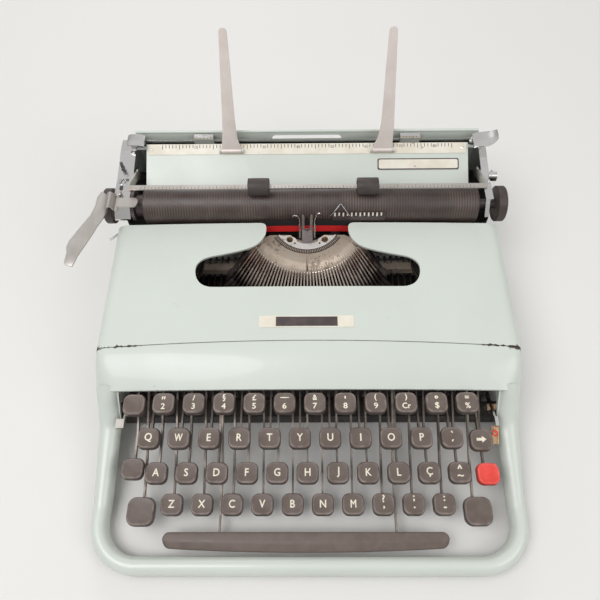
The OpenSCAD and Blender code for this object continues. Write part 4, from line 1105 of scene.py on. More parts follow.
def text_points(text, height):
    """Points and faces of flat lettering about the origin, height being that of a capital."""
    curve = bpy.data.curves.new("lettering", "FONT")
    curve.body = text
    curve.align_x = "CENTER"
    curve.align_y = "CENTER"
    curve.size = 1.0
    curve.resolution_u = 3
    holder = bpy.data.objects.new("lettering", curve)
    bpy.context.scene.collection.objects.link(holder)
    bpy.context.view_layer.update()
    mesh = bpy.data.meshes.new_from_object(holder.evaluated_get(bpy.context.evaluated_depsgraph_get()))
    bpy.data.objects.remove(holder)
    bpy.data.curves.remove(curve)
    points = [v.co.copy() for v in mesh.vertices]
    faces = [tuple(p.vertices) for p in mesh.polygons]
    bpy.data.meshes.remove(mesh)
    if not points:
        raise RuntimeError("no lettering for " + text)
    xs, ys = [p.x for p in points], [p.y for p in points]
    cx, cy = (min(xs) + max(xs)) / 2, (min(ys) + max(ys)) / 2
    scale = height / 0.70
    return [((p.x - cx) * scale, (p.y - cy) * scale) for p in points], faces


# Width of some signs as a share of the font's.
NARROW = {"W": 0.68, "M": 0.78, "Cr": 0.92, "%": 0.88, "&": 0.9, "I": 1.0, "º": 1.0}
FINE_SIGNS = "`´^~?,;.:-'″º"
# Upper and lower sign of a key: place up its face, and height.
LEGEND_LINES = ((3.2, 3.4), (-2.2, 3.7))


def add_legend(mesh, text, x, y, z, w, d, du, dv, height, bold=0.13):
    """Lettering laid on a key top, thickened by copies a little to each side."""
    points, faces = text_points(text, height)
    narrow = NARROW.get(text, 0.88 if text.isalpha() and len(text) == 1 else 1.05)
    points = [(u * narrow, v) for u, v in points]
    for k, (bu, bv) in enumerate(((0, 0), (bold, 0), (-bold, 0), (0, bold), (0, -bold))):
        mesh.add([(x + u + du + bu, y + v + dv + bv, z + cap_height(u + du, v + dv, w, d) + 0.10 + 0.004 * k)
                  for u, v in points], faces)


def add_arrow(mesh, x, y, z, w, d):
    """Backspace arrow."""
    shape = [(-3.1, -0.9), (0.3, -0.9), (0.3, -2.1), (3.1, 0), (0.3, 2.1), (0.3, 0.9), (-3.1, 0.9)]
    mesh.add([(x + u, y + v, z + cap_height(u, v, w, d) + 0.09) for u, v in shape],
             [(0, 1, 5, 6), (1, 2, 3), (1, 3, 5), (3, 4, 5)])


class TYPEWRITER_OT_legends(bpy.types.Operator):
    """Makes the letters, figures and signs moulded in the key tops"""
    bl_idname = "typewriter.legends"
    bl_label = "Legends"

    def execute(self, context):
        big = settings("keys").letter
        pieces = {}
        for i, row in enumerate(ROW_NAMES):
            for k, (x, sign) in enumerate(zip(row_places(i), ROW_LEGENDS[i])):
                body = "h_letter" if (i, k) == H_KEY else row
                mesh = pieces.setdefault(body, Mesh())
                at = (x, ROW_Y[i], ROW_Z[i], CAP_W, CAP_D)
                if isinstance(sign, str):
                    add_legend(mesh, sign, *at, 0, 0.1, big)
                    continue
                for text, (up, height) in zip(sign, LEGEND_LINES):
                    fine = text in FINE_SIGNS
                    add_legend(mesh, text, *at, 0, up, height * (1.25 if fine else 1.0), 0.2 if fine else 0.12)
        for body, mesh in pieces.items():
            mesh.piece(body + "_legends", body, "legend_cream", "key_plastic")
        arrow = Mesh()
        _, body, *place = SIDE_KEYS[2]
        add_arrow(arrow, *place)
        arrow.piece("backspace_legend", body, "legend_cream", "key_plastic")
        return {"FINISHED"}


# Ribbon.

# Run of the ribbon's lower edge, from the spool to the printing point, and its two bands.
RIBBON_RUN = ((101.0, 74.0, 44.0), (75.5, 75.4, 44.0), (60.0, 79.5, 44.2), (42.0, 79.7, 48.0), (31.0, 79.7, 50.6),
              (12.0, 79.7, 51.0), (0.0, 79.7, 51.0))
RIBBON_BANDS = (("red", 0.0, 6.9), ("black", 6.9, 12.7))
RIBBON_T = 0.3


class TYPEWRITER_OT_ribbon(bpy.types.Operator):
    """Makes the two-coloured ribbon"""
    bl_idname = "typewriter.ribbon"
    bl_label = "Ribbon"

    def execute(self, context):
        for side, name in ((-1, "left_ribbon"), (1, "right_ribbon")):
            path = []
            for a, b in zip(RIBBON_RUN, RIBBON_RUN[1:]):
                path += [tuple(mix(p, q, k / 8) for p, q in zip(a, b)) for k in range(8)]
            path.append(RIBBON_RUN[-1])
            for band, low, high in RIBBON_BANDS:
                mesh = Mesh()
                two_faced(mesh, path, range(5), (0, RIBBON_T), lambda at, k, back: (
                    side * at[0], at[1] + back, at[2] + mix(low, high, k / 4)))
                piece = mesh.piece(f"{name}_{band}", None, "ribbon_" + band, "inked_fabric", 30.0,
                                   ("ribbon",) if (side, band) == (-1, "red") else ())
                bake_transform(piece)
        return {"FINISHED"}


# Carriage.

def table_point(along, x, up):
    """A point on the paper table: distance from its foot, place across, height off its face."""
    c, s = cos(radians(TABLE_DEG)), sin(radians(TABLE_DEG))
    return (x, TABLE_FOOT[0] + along * c - up * s, TABLE_FOOT[1] + along * s + up * c)


# Scale strip: half its length, and its lower and upper edge up the paper table.
SCALE_STRIP = (118.6, 24.4, 32.3)
# A character space, and the depth of each fifth line and of the others.
SPACE = 2.54
FIFTH_LINE, LINE = 3.4, 2.5
BAIL_FACE_Z, BAIL_SPACES = 83.4, 46
# Stretches of the bail that its rollers hide.
BAIL_GAPS = ((-42.0, -26.0), (34.5, 50.5))


class TYPEWRITER_OT_scale(bpy.types.Operator):
    """Makes the scale strip on the paper table, its lines and numbers, and the marks on the bail"""
    bl_idname = "typewriter.scale"
    bl_label = "Scales"

    def execute(self, context):
        half, low, high = SCALE_STRIP
        strip = Mesh()
        strip.plate(rounded_outline(rectangle(-half, low, half, high), 1.0, 3),
                    lambda u, v, s: table_point(v, u, 0.02 + 0.45 * s))
        strip.piece("scale_strip", "carriage", "scale_cream", "chrome")
        ink = Mesh()
        spaces = settings("carriage").spaces
        for i in range(spaces + 1):
            x = (i - spaces / 2) * SPACE
            deep = LINE if i % 5 else FIFTH_LINE
            if i % 10 == 0 and 0 < i < spaces:
                points, faces = text_points(str(i), 2.2)
                ink.add([table_point(high - 2.4 + v, x + u, 0.50) for u, v in points], faces)
                continue
            ink.plate(rectangle(x - 0.22, high - 0.5 - deep, x + 0.22, high - 0.5),
                      lambda u, v, s: table_point(v, u, 0.46 + 0.05 * s))
        ink.piece("scale_marks", "carriage", "scale_ink", "chrome")
        marks = Mesh()
        y = AXIS_Y - 1.6
        for i in range(-BAIL_SPACES, BAIL_SPACES + 1):
            x = i * SPACE
            rear = y + (1.5 if i % 5 else 2.3)
            if not any(low < x < high for low, high in BAIL_GAPS):
                marks.box((x - 0.15, y, BAIL_FACE_Z - 0.02), (x + 0.15, rear, BAIL_FACE_Z + 0.03))
        marks.piece("bail_marks", "bail", "scale_ink", "chrome")
        return {"FINISHED"}


# Bare plates: front and rear edge on the cover; left, right, lower and upper edge on the paper table.
COVER_PLATE_Y = (-3.8, 4.3)
TABLE_PLATE = (52.7, 112.9, 12.2, 20.6)


class TYPEWRITER_OT_plates(bpy.types.Operator):
    """Makes the two bare plates, on the ribbon cover and on the paper table"""
    bl_idname = "typewriter.plates"
    bl_label = "Bare plates"

    def execute(self, context):
        for name, x0, x1, lift, material in (("cover_plate", -32.0, 30.3, 0.35, "scale_cream"),
                                             ("cover_plate_field", -21.0, 19.6, 0.42, "plate_dark")):
            mesh = Mesh()
            columns = [mix(x0, x1, k / 16) for k in range(17)]
            inset = 0.0 if lift < 0.4 else 0.7
            rows = [mix(COVER_PLATE_Y[0] + inset, COVER_PLATE_Y[1] - inset, k / 4) for k in range(5)]
            two_faced(mesh, rows, columns, (lift, -0.2), lambda y, x, up: (x, y, cover_height(x, y) + up))
            mesh.piece(name, "cover", material, "chrome")
        x0, x1, low, high = TABLE_PLATE
        for name, inset, base, lift, material in (("table_plate", 0.0, 0.0, 0.5, "plate_dark"),
                                                  ("table_plate_field", 0.8, 0.4, 0.62, "scale_cream")):
            mesh = Mesh()
            mesh.plate(rounded_outline(rectangle(x0 + inset, low + inset, x1 - inset, high - inset), 1.4, 5),
                       lambda u, v, s: table_point(v, u, mix(base, lift, s)))
            mesh.piece(name, "carriage", material, "chrome")
        return {"FINISHED"}


# Trim of the type basket and of the carriage.

def basket_flat(x, y, up):
    """A point in the type basket's own frame, about the printing axis."""
    tilt = radians(90 - AXIS_TILT)
    return (x, PRINT_POINT[1] + y * cos(tilt) - up * sin(tilt),
            PRINT_POINT[2] + y * sin(tilt) + up * cos(tilt))


def basket_point(r, deg, up):
    """A point in the type basket: distance from the printing axis, angle from its foot, height."""
    return basket_flat(r * sin(radians(deg)), -r * cos(radians(deg)), up)


def segment_plate_edge(deg):
    """Inner edge of the silver plate: two ears about its screws."""
    far = abs(deg)
    ear = ease((far - 20) / 8) * (1 - ease((far - 41) / 8))
    return 20.6 - 2.2 * ear + 3.6 * ease((far - 44) / 13)


# Type basket, in radii from the printing axis, degrees from its foot, and heights along it.
SWEEP_DEG, SWEEP_STEPS = 57.0, 76
PLATE_R, PLATE_UP = 25.3, (-2.1, -2.52)
GROOVE_R, GROOVE_UP = (25.2, 27.2, 29.2), (-2.86, -3.05)
TEETH, TOOTH_R, TOOTH_DEG = 43, (26.2, 28.4), 0.55
SCREW_PLACE, SCREW_HEAD = (21.2, 37.5), ((2.35, 0), (2.35, 0.45), (2.05, 0.75), (1.2, 0.9), (0.3, 0.92))
# Dark discs of painted shade that stand for two holes in the silver plate: their place and profile.
HOLE_SHADE_PLACE, HOLE_SHADE_DISC = (22.1, 24.4), ((0.75, 0), (0.7, 0.08), (0.2, 0.09))
# Slope of the band that the typebars lie in: radius and height.
BAND_RISE = ((29.4, -2.88), (36.0, -2.6), (38.6, -1.6), (40.4, 0.6), (41.2, 1.12), (43.0, 1.2))
BAND_DEG = (1.3, 58.0)
# Type guide: its foot in the basket's plane, and one prong of its upright fork.
GUIDE_FOOT = ((-3.9, -22.0), (3.9, -22.0), (3.9, -9.6), (1.9, -9.4), (0.0, -10.8), (-1.9, -9.4), (-3.9, -9.6))
GUIDE_PRONG = ((1.95, 54.0), (3.9, 54.0), (3.9, 70.6), (3.4, 71.8), (2.7, 71.8), (1.95, 69.6))
# Ribbon hooks: place of the uprights, and the bent tip of each.
HOOK_X, HOOK_Y = 5.4, 77.5
HOOK_TIPS = ((-1, ((5.6, 68.6), (6.8, 71.2), (8.6, 72.2), (10.2, 71.6))),
             (1, ((6.0, 70.0), (6.8, 73.2), (8.2, 74.8), (9.8, 73.4))))


class TYPEWRITER_OT_basket(bpy.types.Operator):
    """Makes the segment's silver plate, screws and toothed groove, the type guide and the ribbon hooks"""
    bl_idname = "typewriter.basket"
    bl_label = "Type basket trim"

    def execute(self, context):
        sweep = [mix(-SWEEP_DEG, SWEEP_DEG, k / SWEEP_STEPS) for k in range(SWEEP_STEPS + 1)]
        plate, groove, teeth, heads, guide, band, hooks = (Mesh() for _ in range(7))
        two_faced(plate, sweep, range(4), PLATE_UP,
                  lambda d, k, up: basket_point(mix(segment_plate_edge(d), PLATE_R, k / 3), d, up))
        two_faced(groove, sweep, GROOVE_R, GROOVE_UP, lambda d, r, up: basket_point(r, d, up))
        for i in range(TEETH):
            d = mix(1 - SWEEP_DEG, SWEEP_DEG - 1, i / (TEETH - 1))
            teeth.plate(rectangle(TOOTH_R[0], d - TOOTH_DEG, TOOTH_R[1], d + TOOTH_DEG),
                        lambda u, v, k: basket_point(u, v, -2.88 + 0.16 * k))
        facing = Vector(basket_point(0, 0, 1)) - Vector(basket_point(0, 0, 0))
        for side in SIDES:
            r, d = SCREW_PLACE
            heads.revolve(SCREW_HEAD, basket_point(r, side * d, -2.15), facing, 28)
            # Painted shade of each screw's slot.
            groove.screw_slot(basket_point(r, side * d, -1.27), facing, (1, 0, side * 0.5), 3.9, 0.6)
            # Painted shade of a hole in the plate.
            r, d = HOLE_SHADE_PLACE
            groove.revolve(HOLE_SHADE_DISC, basket_point(r, side * d, -2.12), facing, 16)
        guide.plate(GUIDE_FOOT, lambda u, v, k: basket_flat(u, v, -2.62 + 0.45 * k))
        for side in SIDES:
            guide.plate(GUIDE_PRONG, lambda u, v, k: (side * u, 78.3 + 0.5 * k, v))
        guide.box((-2.0, 78.85, 53.2), (2.0, 79.15, 55.2))
        for side in SIDES:
            arc = [side * mix(*BAND_DEG, k / 40) for k in range(41)]
            two_faced(band, arc, BAND_RISE, (0.0, 0.12), lambda d, at, drop: basket_point(at[0], d, at[1] - drop))
        hooks.box((-7.0, HOOK_Y, 34.0), (7.0, HOOK_Y + 0.7, 40.0))
        hooks.box((-3.0, HOOK_Y, 24.0), (3.0, HOOK_Y + 0.7, 34.5))
        for side, tip in HOOK_TIPS:
            x = side * HOOK_X
            hooks.box((x - 0.55, HOOK_Y, 36.0), (x + 0.55, HOOK_Y + 0.6, 62.0))
            bend = [(HOOK_X, 61.0), (HOOK_X, 66.0), *tip]
            hooks.tube(smooth_path([(side * u, HOOK_Y + 0.3, v) for u, v in bend], 4), 0.5)
        plate.piece("segment_plate", "basket", "plate_silver", "chrome")
        teeth.piece("segment_teeth", "basket", "segment_steel", "machine_steel")
        heads.piece("segment_screws", "basket", "screw_brass", "chrome")
        guide.piece("type_guide_fork", "basket", "guide_steel", "chrome", 32.0, ("type_guide",))
        band.piece("segment_band", "basket", "segment_steel", "machine_steel", 50.0)
        hooks.piece("vibrator_hooks", "vibrator", "bright_chrome", "chrome", 32.0, ("ribbon_vibrator",))
        groove.piece("segment_groove", "basket", "plate_dark", "dark_steel")
        return {"FINISHED"}


def platen_point(x, deg, r):
    """A point round the platen's axis, the angle taken from the rear."""
    a = radians(deg)
    return (x, AXIS_Y + r * cos(a), AXIS_Z + r * sin(a))


# Radius and place along the axis, of the rubber sleeve and of a knob outward from its inner face.
SLEEVE_PROFILE = (
    (6.0, -117.4), (12.9, -117.4), (13.45, -116.9), (13.5, -116.2),
    (13.5, 120.9), (13.45, 121.6), (12.9, 122.1), (6.0, 122.1),
)
KNOB_PROFILE = (
    (3.0, 0.0), (11.0, 0.0), (12.3, 0.35), (12.75, 0.9), (12.75, 6.1), (12.3, 6.65), (11.5, 7.0), (10.4, 7.0),
    (9.6, 6.3), (5.2, 5.8), (4.4, 6.3), (3.6, 6.6), (0.6, 6.7),
)


class TYPEWRITER_OT_knobs(bpy.types.Operator):
    """Makes the platen's rubber sleeve and its two knurled knobs"""
    bl_idname = "typewriter.knobs"
    bl_label = "Platen knobs"

    def execute(self, context):
        sleeve = Mesh()
        sleeve.revolve(SLEEVE_PROFILE, (0, AXIS_Y, AXIS_Z), X_AXIS, 96)
        sleeve.piece("platen_sleeve", "platen_roll", "platen_rubber", "rubber", 32.0, ("platen",))
        steps = 144
        for side, name in ((-1, "left_knob"), (1, "right_knob")):
            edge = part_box(name)[0 if side > 0 else 1][0] / MM
            knob = Mesh()
            knob.loft([[platen_point(edge + side * h, 360 * i / steps, r + (0.09 if i % 2 else -0.06) * (r > 12.5))
                        for i in range(steps)] for r, h in KNOB_PROFILE])
            knob.piece(name + "_rim", "platen_roll", "knob_plastic", "dark_plastic", 40.0, (name,))
        return {"FINISHED"}


# Screw of the left end plate, the small rivets, and the height of the plate's face.
END_SCREW_HEAD = ((2.6, 0), (2.6, 0.5), (2.2, 0.95), (1.2, 1.15), (0.3, 1.18))
END_RIVET, TABLE_RIVET = ((0.85, 0), (0.8, 0.3), (0.2, 0.5)), ((0.95, 0), (0.9, 0.25), (0.3, 0.5))
END_SCREW_Y, END_FACE_Z = 110.0, 71.75
# Card holder: its lines and the two legs of the pointer, across and in degrees round the platen.
CARD_LINES, CARD_LINE_X, CARD_LINE_GAP = 12, 19.8, 3
POINTER_LEGS = ((16.6, 161, 23.4, 128), (24.0, 128, 30.2, 160))
SIDE_PIN = ((-137.3, 82.0, 48.4), (-140.3, 80.2, 48.0), (-143.4, 77.9, 47.7), (-146.2, 75.4, 47.5))
SELECTOR_LABEL = ((117.9, -73.0), (121.9, -73.0), (123.3, -61.4), (118.3, -61.4))
SELECTOR_RING = (120.2, -66.0)


class TYPEWRITER_OT_trim(bpy.types.Operator):
    """Makes the small trim: screws, the card holder's lines and pointer, the side pin and the selector's label"""
    bl_idname = "typewriter.trim"
    bl_label = "Small trim"

    def execute(self, context):
        heads, dark, lines, wire, label, ring = (Mesh() for _ in range(6))
        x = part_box("left_end_plate")[0][0] / MM + 4.2
        heads.revolve(END_SCREW_HEAD, (x, END_SCREW_Y, END_FACE_Z), Z_AXIS, 28)
        # Painted shade of the screw's slot, and a dark rounded patch of painted shade for a slot in the plate.
        dark.screw_slot((x, END_SCREW_Y, END_FACE_Z + 1.15), Z_AXIS, (0.35, 1, 0), 4.2, 0.8)
        dark.flat(rounded_outline(rectangle(x - 1.3, 101.9, x + 1.3, 106.3), 0.8, 4), 71.7, 0.16)
        heads.revolve(END_RIVET, (x, 118.0, 72.594), Z_AXIS, 14)
        slope = radians(TABLE_DEG)
        for side in SIDES:
            heads.revolve(TABLE_RIVET, table_point(28.4, side * 115.6, 0.45), (0, -sin(slope), cos(slope)), 14)
        for i in range(CARD_LINES):
            at = CARD_LINE_X + CARD_LINE_GAP * i
            lines.plate(rectangle(at - 0.5, 152.0, at + 0.5, 163.5 - 2 * (i % 2)),
                        lambda u, v, k: platen_point(u, v, 14.58 + 0.1 * k))
        wire.tube([platen_point(mix(x0, x1, k / 8), mix(d0, d1, k / 8), 14.95)
                   for x0, d0, x1, d1 in POINTER_LEGS for k in range(9)], 0.42)
        wire.tube(SIDE_PIN, 0.85)
        label.flat(SELECTOR_LABEL, 29.4, 0.7)
        label.box((117.6, -50.6, 29.6), (123.8, -46.4, 31.2), 0.3)
        two_faced(ring, [2 * pi * k / 28 for k in range(29)], (1.15, 1.95), (30.25, 30.05),
                  lambda a, r, z: (SELECTOR_RING[0] + r * cos(a), SELECTOR_RING[1] + r * sin(a), z))
        heads.piece("end_plate_screws", "carriage", "bright_chrome", "chrome")
        dark.piece("end_plate_slot_shade", "carriage", "plate_dark", "dark_steel")
        lines.piece("card_holder_lines", "chassis", "scale_cream", "chrome")
        label.piece("selector_label", "chassis", "aged_label", "dark_steel")
        ring.piece("selector_ring", "chassis", "ribbon_red", "red_plastic")
        wire.piece("pointer_and_hook", "chassis", "bright_chrome", "chrome")
        return {"FINISHED"}


# Paper arms: height up the arm, outer edge and inner edge from the hinge's middle.
ARM_STATIONS = (
    (1.3, 7.3, -7.4), (4.0, 7.05, -6.8), (7.0, 6.85, -5.5), (10.5, 6.6, -4.4), (17.0, 6.3, -3.6), (29.0, 5.7, -3.1),
    (54.0, 4.6, -2.8), (70.0, 3.9, -2.6), (80.5, 3.4, -2.4), (83.5, 3.2, -2.3), (85.1, 2.5, -1.6), (85.9, 1.2, -0.3),
)
# Section of the strip: share of its width, and half its thickness there.
ARM_SECTION = ((0.0, 0.25), (0.05, 0.55), (0.12, 0.6), (0.5, 0.6), (0.88, 0.6), (0.95, 0.55), (1.0, 0.25))
ARM_X, ARM_HINGE_Y, ARM_HINGE_Z = 56.0, 134.436, 77.251
ARM_LEAN = radians(23)


def arm_point(side, up, out, depth):
    """A point of a paper arm: up the strip, outward from its hinge and in front of its middle."""
    c, s = cos(ARM_LEAN), sin(ARM_LEAN)
    return (side * (ARM_X + out) + ease(up / 20), ARM_HINGE_Y + up * s - depth * c, ARM_HINGE_Z + up * c + depth * s)


def add_barrel(mesh, x, reach):
    """The rolled barrel that a paper arm turns on."""
    turns = [2 * pi * i / 24 for i in range(24)]
    rings = [[(x + h, ARM_HINGE_Y + r * cos(a), ARM_HINGE_Z + r * sin(a)) for a in turns]
             for r, h in ((1.1, -reach), (1.7, -reach), (1.7, reach), (1.1, reach))]
    k, m = len(mesh.points), len(turns)
    mesh.grid(rings, ring=True)
    mesh.faces += [(k + 3 * m + i, k + 3 * m + (i + 1) % m, k + (i + 1) % m, k + i) for i in range(m)]


class TYPEWRITER_OT_paper_arms(bpy.types.Operator):
    """Makes the two folding paper arms with their flared feet"""
    bl_idname = "typewriter.paper_arms"
    bl_label = "Paper arms"

    def execute(self, context):
        for name, side in (("left", -1), ("right", 1)):
            arm = Mesh()
            two_faced(arm, smooth_path(ARM_STATIONS, 4), ARM_SECTION, (1, -1), lambda at, place, front: arm_point(
                side, at[0], mix(at[1], at[2], place[0]), front * place[1]))
            add_barrel(arm, side * ARM_X, 7.45)
            arm.piece(name + "_arm_strip", name + "_arm", "arm_steel", "chrome", 40.0, (name + "_paper_arm",))
        return {"FINISHED"}


# Outer and inner edge of the return lever in plan, from its root to its tip.
RETURN_BLADE = (
    (-146.5, 95.4, -141.8, 93.5), (-148.7, 90.2, -141.3, 88.5), (-148.8, 83.1, -141.1, 80.5),
    (-150.7, 74.6, -142.6, 74.0), (-154.8, 66.8, -145.6, 67.2), (-158.7, 58.6, -148.6, 58.4),
    (-161.4, 53.1, -150.9, 52.2), (-162.4, 47.6, -153.2, 46.6), (-161.5, 43.1, -154.9, 42.4),
    (-162.1, 36.5, -156.6, 37.6), (-161.6, 34.9, -157.9, 35.2),
)
# Thumb tabs: body, side, and stations outward with front edge, rear edge and height.
RELEASE_TABS = (
    ("right_release", 1, (
        (122.6, 131.8, 144.2, 83.2), (125.0, 132.9, 145.2, 83.2), (128.0, 132.8, 146.0, 83.2),
        (131.0, 132.7, 146.3, 83.3), (134.0, 132.9, 146.2, 83.8), (136.5, 133.6, 145.8, 84.8),
        (138.6, 134.6, 145.0, 86.2), (140.0, 135.8, 144.0, 87.6))),
    ("left_release", -1, (
        (120.4, 134.6, 145.2, 83.2), (124.0, 135.4, 146.0, 83.4), (128.0, 135.8, 146.4, 83.4),
        (131.5, 136.2, 146.4, 83.2), (133.4, 137.0, 146.0, 82.4))),
)
TAB_T = 0.9
# Arch and root of the return lever; curl, side and pivot of the paper release lever.
RETURN_ARCH = ((-142.6, 76.4), (-141.6, 79.2), (-139.6, 80.6), (-137.6, 79.2), (-136.4, 76.6), (-134.4, 75.4))
RETURN_ROOT = ((-136.6, 84.0), (-120.4, 84.2), (-120.4, 92.0), (-136.6, 92.2))
PAPER_TAB = ((112.8, 77.0), (111.0, 76.7), (109.5, 75.6), (108.8, 73.8), (108.7, 71.6))
PAPER_LEVER = ((116.2, 61.4), (121.8, 61.4), (115.2, 76.2), (111.6, 76.2))
PAPER_PIVOT = (0, 119.0, 60.8)


class TYPEWRITER_OT_levers(bpy.types.Operator):
    """Makes the leaf-shaped return lever, the curled thumb tabs and the paper release tab"""
    bl_idname = "typewriter.levers"
    bl_label = "Carriage levers"

    def execute(self, context):
        lever = Mesh()
        rows = []
        for k, (x0, y0, x1, y1) in enumerate(RETURN_BLADE):
            fold = mix(0.45, 0.08, ease(k / 5))
            fall = -2.0 * ease((k - 7.5) / 3)
            ridge = ((0.0, 78.2), (fold * 0.5, 78.3), (fold, 78.2), (mix(fold, 1, 0.5), 76.9), (1.0, 75.6))
            rows.append([(mix(x0, x1, t), mix(y0, y1, t), z + fall) for t, z in ridge])
        two_faced(lever, rows, range(5), (0.0, 1.1), lambda row, k, t: (row[k][0], row[k][1], row[k][2] - t))
        two_faced(lever, smooth_path(RETURN_ARCH, 5), range(5), (0.0, 0.9),
                  lambda at, k, t: (at[0] + t, mix(80.2, 93.6, k / 4), at[1] - t))
        lever.flat(rounded_outline(RETURN_ROOT, 3.8, 8), 74.5, 1.2)
        lever.revolve([(2.6, 71.9), (2.6, 76.4), (2.0, 77.0)], (-135.25, AXIS_Y + 1, 0), Z_AXIS, 24)
        lever.piece("return_blade", "return", "satin_steel", "chrome", 40.0, ("return_lever",))
        for body, side, stations in RELEASE_TABS:
            node = body + "_lever"
            low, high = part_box(node)
            mid = (low[1] + high[1]) / 2 / MM
            tab = Mesh()
            rows = [[(side * x, mix(front, rear, k / 6), z - 0.9 * (1 - ease(k / 2))) for k in range(7)]
                    for x, front, rear, z in stations]
            two_faced(tab, rows, range(7), (0.0, TAB_T), lambda row, k, t: (row[k][0], row[k][1], row[k][2] - t))
            tab.revolve([(2.6, 0.0), (2.6, 6.4)], (side * 121.4 - (6.4 if side < 0 else 0), mid, 79.3), X_AXIS, 24)
            a, b = sorted((side * 121.6, side * 127.6))
            tab.box((a, mid - 1.5, 80.0), (b, mid + 1.5, 82.6))
            tab.piece(body + "_tab", body, "bright_chrome", "chrome", 40.0, (node,))
        lever = Mesh()
        two_faced(lever, smooth_path(PAPER_TAB, 4), range(5), (0.0, 0.7),
                  lambda at, k, t: (mix(131.7, 137.6, k / 4), at[0] + t, at[1] - t))
        lever.plate(PAPER_LEVER, lambda u, v, k: (133.9 + 1.2 * k, u, v))
        lever.revolve([(4.0, 133.9), (4.0, 135.1)], PAPER_PIVOT, X_AXIS, 28)
        lever.revolve([(2.0, 131.2), (2.0, 134.2)], PAPER_PIVOT, X_AXIS, 20)
        lever.piece("paper_release_tab", "paper_release", "bright_chrome", "chrome", 40.0, ("paper_release_lever",))
        return {"FINISHED"}


# Finishes of the solids that stay.

NODE_FINISHES = {
    "sage_enamel": ("paper_table", "rear_cover"),
    "lever_steel": ("left_spool", "right_spool"),
    "segment_steel": ("segment",),
    "typebar_steel": ("typebars", "h_typebar"),
    "frame_black": ("chassis_frame", "spool_cups", "type_rest", "carriage_bed"),
    "shaft_steel": ("fulcrum_shaft", "carriage_rail", "mainspring_drum"),
    "bright_chrome": ("left_end_plate", "right_end_plate", "margin_rack", "left_margin_stop", "right_margin_stop",
                      "ribbon_selector"),
    "satin_steel": ("bail_bar", "tab_set_lever"),
    "plate_dark": ("card_holder", "platen_shaft", "line_space_lever"),
    "dark_rubber": ("rubber_feet", "feed_rollers", "bail_rollers"),
}
# Width of the broken edges on solids seen from close by.
SOFT_EDGES = {
    "left_end_plate": 0.35, "right_end_plate": 0.35, "bail_bar": 0.25, "bail_rollers": 0.7, "paper_table": 0.3,
    "left_margin_stop": 0.5, "right_margin_stop": 0.5, "rear_cover": 0.35, "margin_rack": 0.15,
}


class TYPEWRITER_OT_finishes(bpy.types.Operator):
    """Gives every solid that stays its finish and breaks the sharp edges that show"""
    bl_idname = "typewriter.finishes"
    bl_label = "Finishes"

    def execute(self, context):
        for name, nodes in NODE_FINISHES.items():
            for node in nodes:
                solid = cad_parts[node]
                for slot in solid.material_slots:
                    slot.material = finish(name)
        for node, width in SOFT_EDGES.items():
            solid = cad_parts[node]
            weld = solid.modifiers.new("Weld", "WELD")
            weld.merge_threshold = 0.000005
            bevel = solid.modifiers.new("Broken edges", "BEVEL")
            bevel.width = width * MM
            bevel.segments = 2
            bevel.limit_method = "ANGLE"
            bevel.angle_limit = radians(40)
            bevel.harden_normals = False
        return {"FINISHED"}


# Stage.

FLOOR_HALF = 6
# Lamps: name, place, width and share of the main lamp's strength.
LAMPS = (
    ("key_light", (-0.55, -0.35, 1.25), 0.9, 1.0),
    ("fill_light", (0.85, -0.55, 0.9), 0.8, 0.42),
    ("rear_light", (-0.15, 1.35, 0.62), 0.8, 0.55),
)
# Camera: place, then yaw, roll and tilt down in degrees, and its focal length in pixels of the frame.
CAMERA_PLACE = (-1.1, -183.1, 408.8)
CAMERA_TURN = (-1.16, -1.27, 60.24)
FOCAL_PIXELS, FRAME_PIXELS = 598.9, 600.0


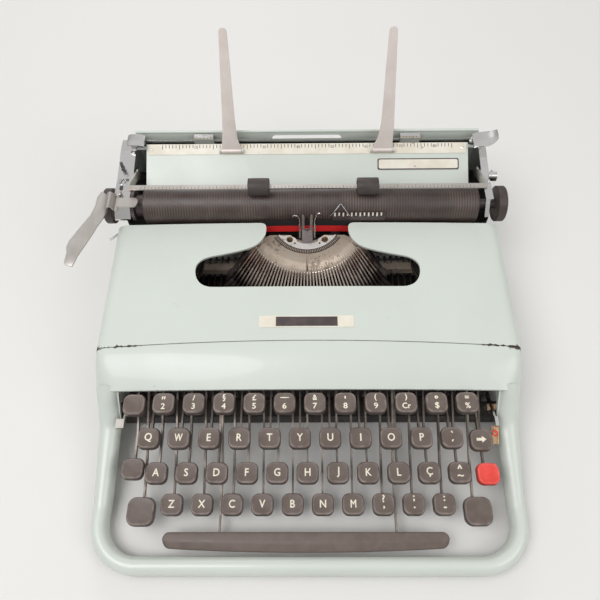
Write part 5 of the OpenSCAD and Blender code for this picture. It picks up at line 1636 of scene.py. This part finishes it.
class TYPEWRITER_OT_stage(bpy.types.Operator):
    """Makes the floor, the soft light and the camera"""
    bl_idname = "typewriter.stage"
    bl_label = "Stage"

    def execute(self, context):
        stage = settings("stage")
        scene = context.scene
        scene.view_settings.view_transform = "Standard"
        floor_mesh = bpy.data.meshes.new("floor")
        corners = rectangle(-FLOOR_HALF, -FLOOR_HALF, FLOOR_HALF, FLOOR_HALF)
        floor_mesh.from_pydata([(x, y, 0) for x, y in corners], [], [(0, 1, 2, 3)])
        floor = bpy.data.objects.new("floor", floor_mesh)
        scene.collection.objects.link(floor)
        pale = layered("Pale floor", tuple(stage.floor), 0.8, cloud=(2.0, 200.0), tints=(("Cloud", 0.97, 0.5),))
        floor_mesh.materials.append(pale.material)
        world = bpy.data.worlds.new("Soft room")
        scene.world = world
        world.use_nodes = True
        tree = world.node_tree
        back = tree.nodes["Background"]
        up = split_coords(tree, tree.nodes.new("ShaderNodeTexCoord").outputs["Generated"])["Z"]
        tree.links.new(remap(tree, up, -0.1, 0.9, 0.35, 1.2), back.inputs["Color"])
        back.inputs["Strength"].default_value = 0.55
        for name, place, size, share in LAMPS:
            lamp = bpy.data.lights.new(name, "AREA")
            lamp.energy = stage.light * share
            lamp.shape = "DISK"
            lamp.size = size
            holder = bpy.data.objects.new(name, lamp)
            holder.location = place
            aim = Vector((0, 0, 0.05)) - Vector(place)
            holder.rotation_euler = aim.to_track_quat("-Z", "Y").to_euler()
            scene.collection.objects.link(holder)
        camera = bpy.data.cameras.new("camera")
        camera.sensor_width = 36.0
        camera.sensor_fit = "HORIZONTAL"
        camera.lens = FOCAL_PIXELS * camera.sensor_width / FRAME_PIXELS
        camera.clip_start = 0.01
        yaw, roll, rise = (radians(deg) for deg in CAMERA_TURN)
        ahead = Vector((sin(yaw) * cos(rise), cos(yaw) * cos(rise), -sin(rise)))
        right = Vector((cos(yaw), -sin(yaw), 0))
        up = right.cross(ahead)
        across = right * cos(roll) + up * sin(roll)
        above = up * cos(roll) - right * sin(roll)
        turn = Matrix((across, above, -ahead)).transposed().to_4x4()
        holder = bpy.data.objects.new("camera", camera)
        holder.matrix_world = Matrix.Translation(Vector(CAMERA_PLACE) * MM) @ turn
        scene.collection.objects.link(holder)
        scene.camera = holder
        return {"FINISHED"}


OPERATORS = (
    TYPEWRITER_OT_stage, TYPEWRITER_OT_finishes, TYPEWRITER_OT_shell, TYPEWRITER_OT_cover, TYPEWRITER_OT_keys,
    TYPEWRITER_OT_space_bar, TYPEWRITER_OT_legends, TYPEWRITER_OT_ribbon, TYPEWRITER_OT_scale, TYPEWRITER_OT_plates,
    TYPEWRITER_OT_basket, TYPEWRITER_OT_knobs, TYPEWRITER_OT_paper_arms, TYPEWRITER_OT_levers, TYPEWRITER_OT_trim,
)
GROUPS = {"shell": ShellSettings, "keys": KeySettings, "carriage": CarriageSettings, "stage": StageSettings}


class TYPEWRITER_PT_panel(bpy.types.Panel):
    """Lists the pieces and the sizes and colours behind them"""
    bl_idname = "TYPEWRITER_PT_panel"
    bl_label = "Typewriter"
    bl_space_type = "VIEW_3D"
    bl_region_type = "UI"
    bl_category = "Typewriter"

    def draw(self, context):
        for kind, group in GROUPS.items():
            box = self.layout.box()
            for label in group.__annotations__:
                box.prop(settings(kind), label)
        for operator in OPERATORS:
            self.layout.operator(operator.bl_idname)


CLASSES = (*GROUPS.values(), *OPERATORS, TYPEWRITER_PT_panel)


def register():
    for cls in CLASSES:
        bpy.utils.register_class(cls)
    for kind, group in GROUPS.items():
        setattr(bpy.types.Scene, "typewriter_" + kind, bpy.props.PointerProperty(type=group))


def unregister():
    for kind in GROUPS:
        delattr(bpy.types.Scene, "typewriter_" + kind)
    for cls in reversed(CLASSES):
        bpy.utils.unregister_class(cls)


def main():
    register()
    for operator in OPERATORS:
        group, name = operator.bl_idname.split(".")
        getattr(getattr(bpy.ops, group), name)()


if __name__ == "__main__":
    main()
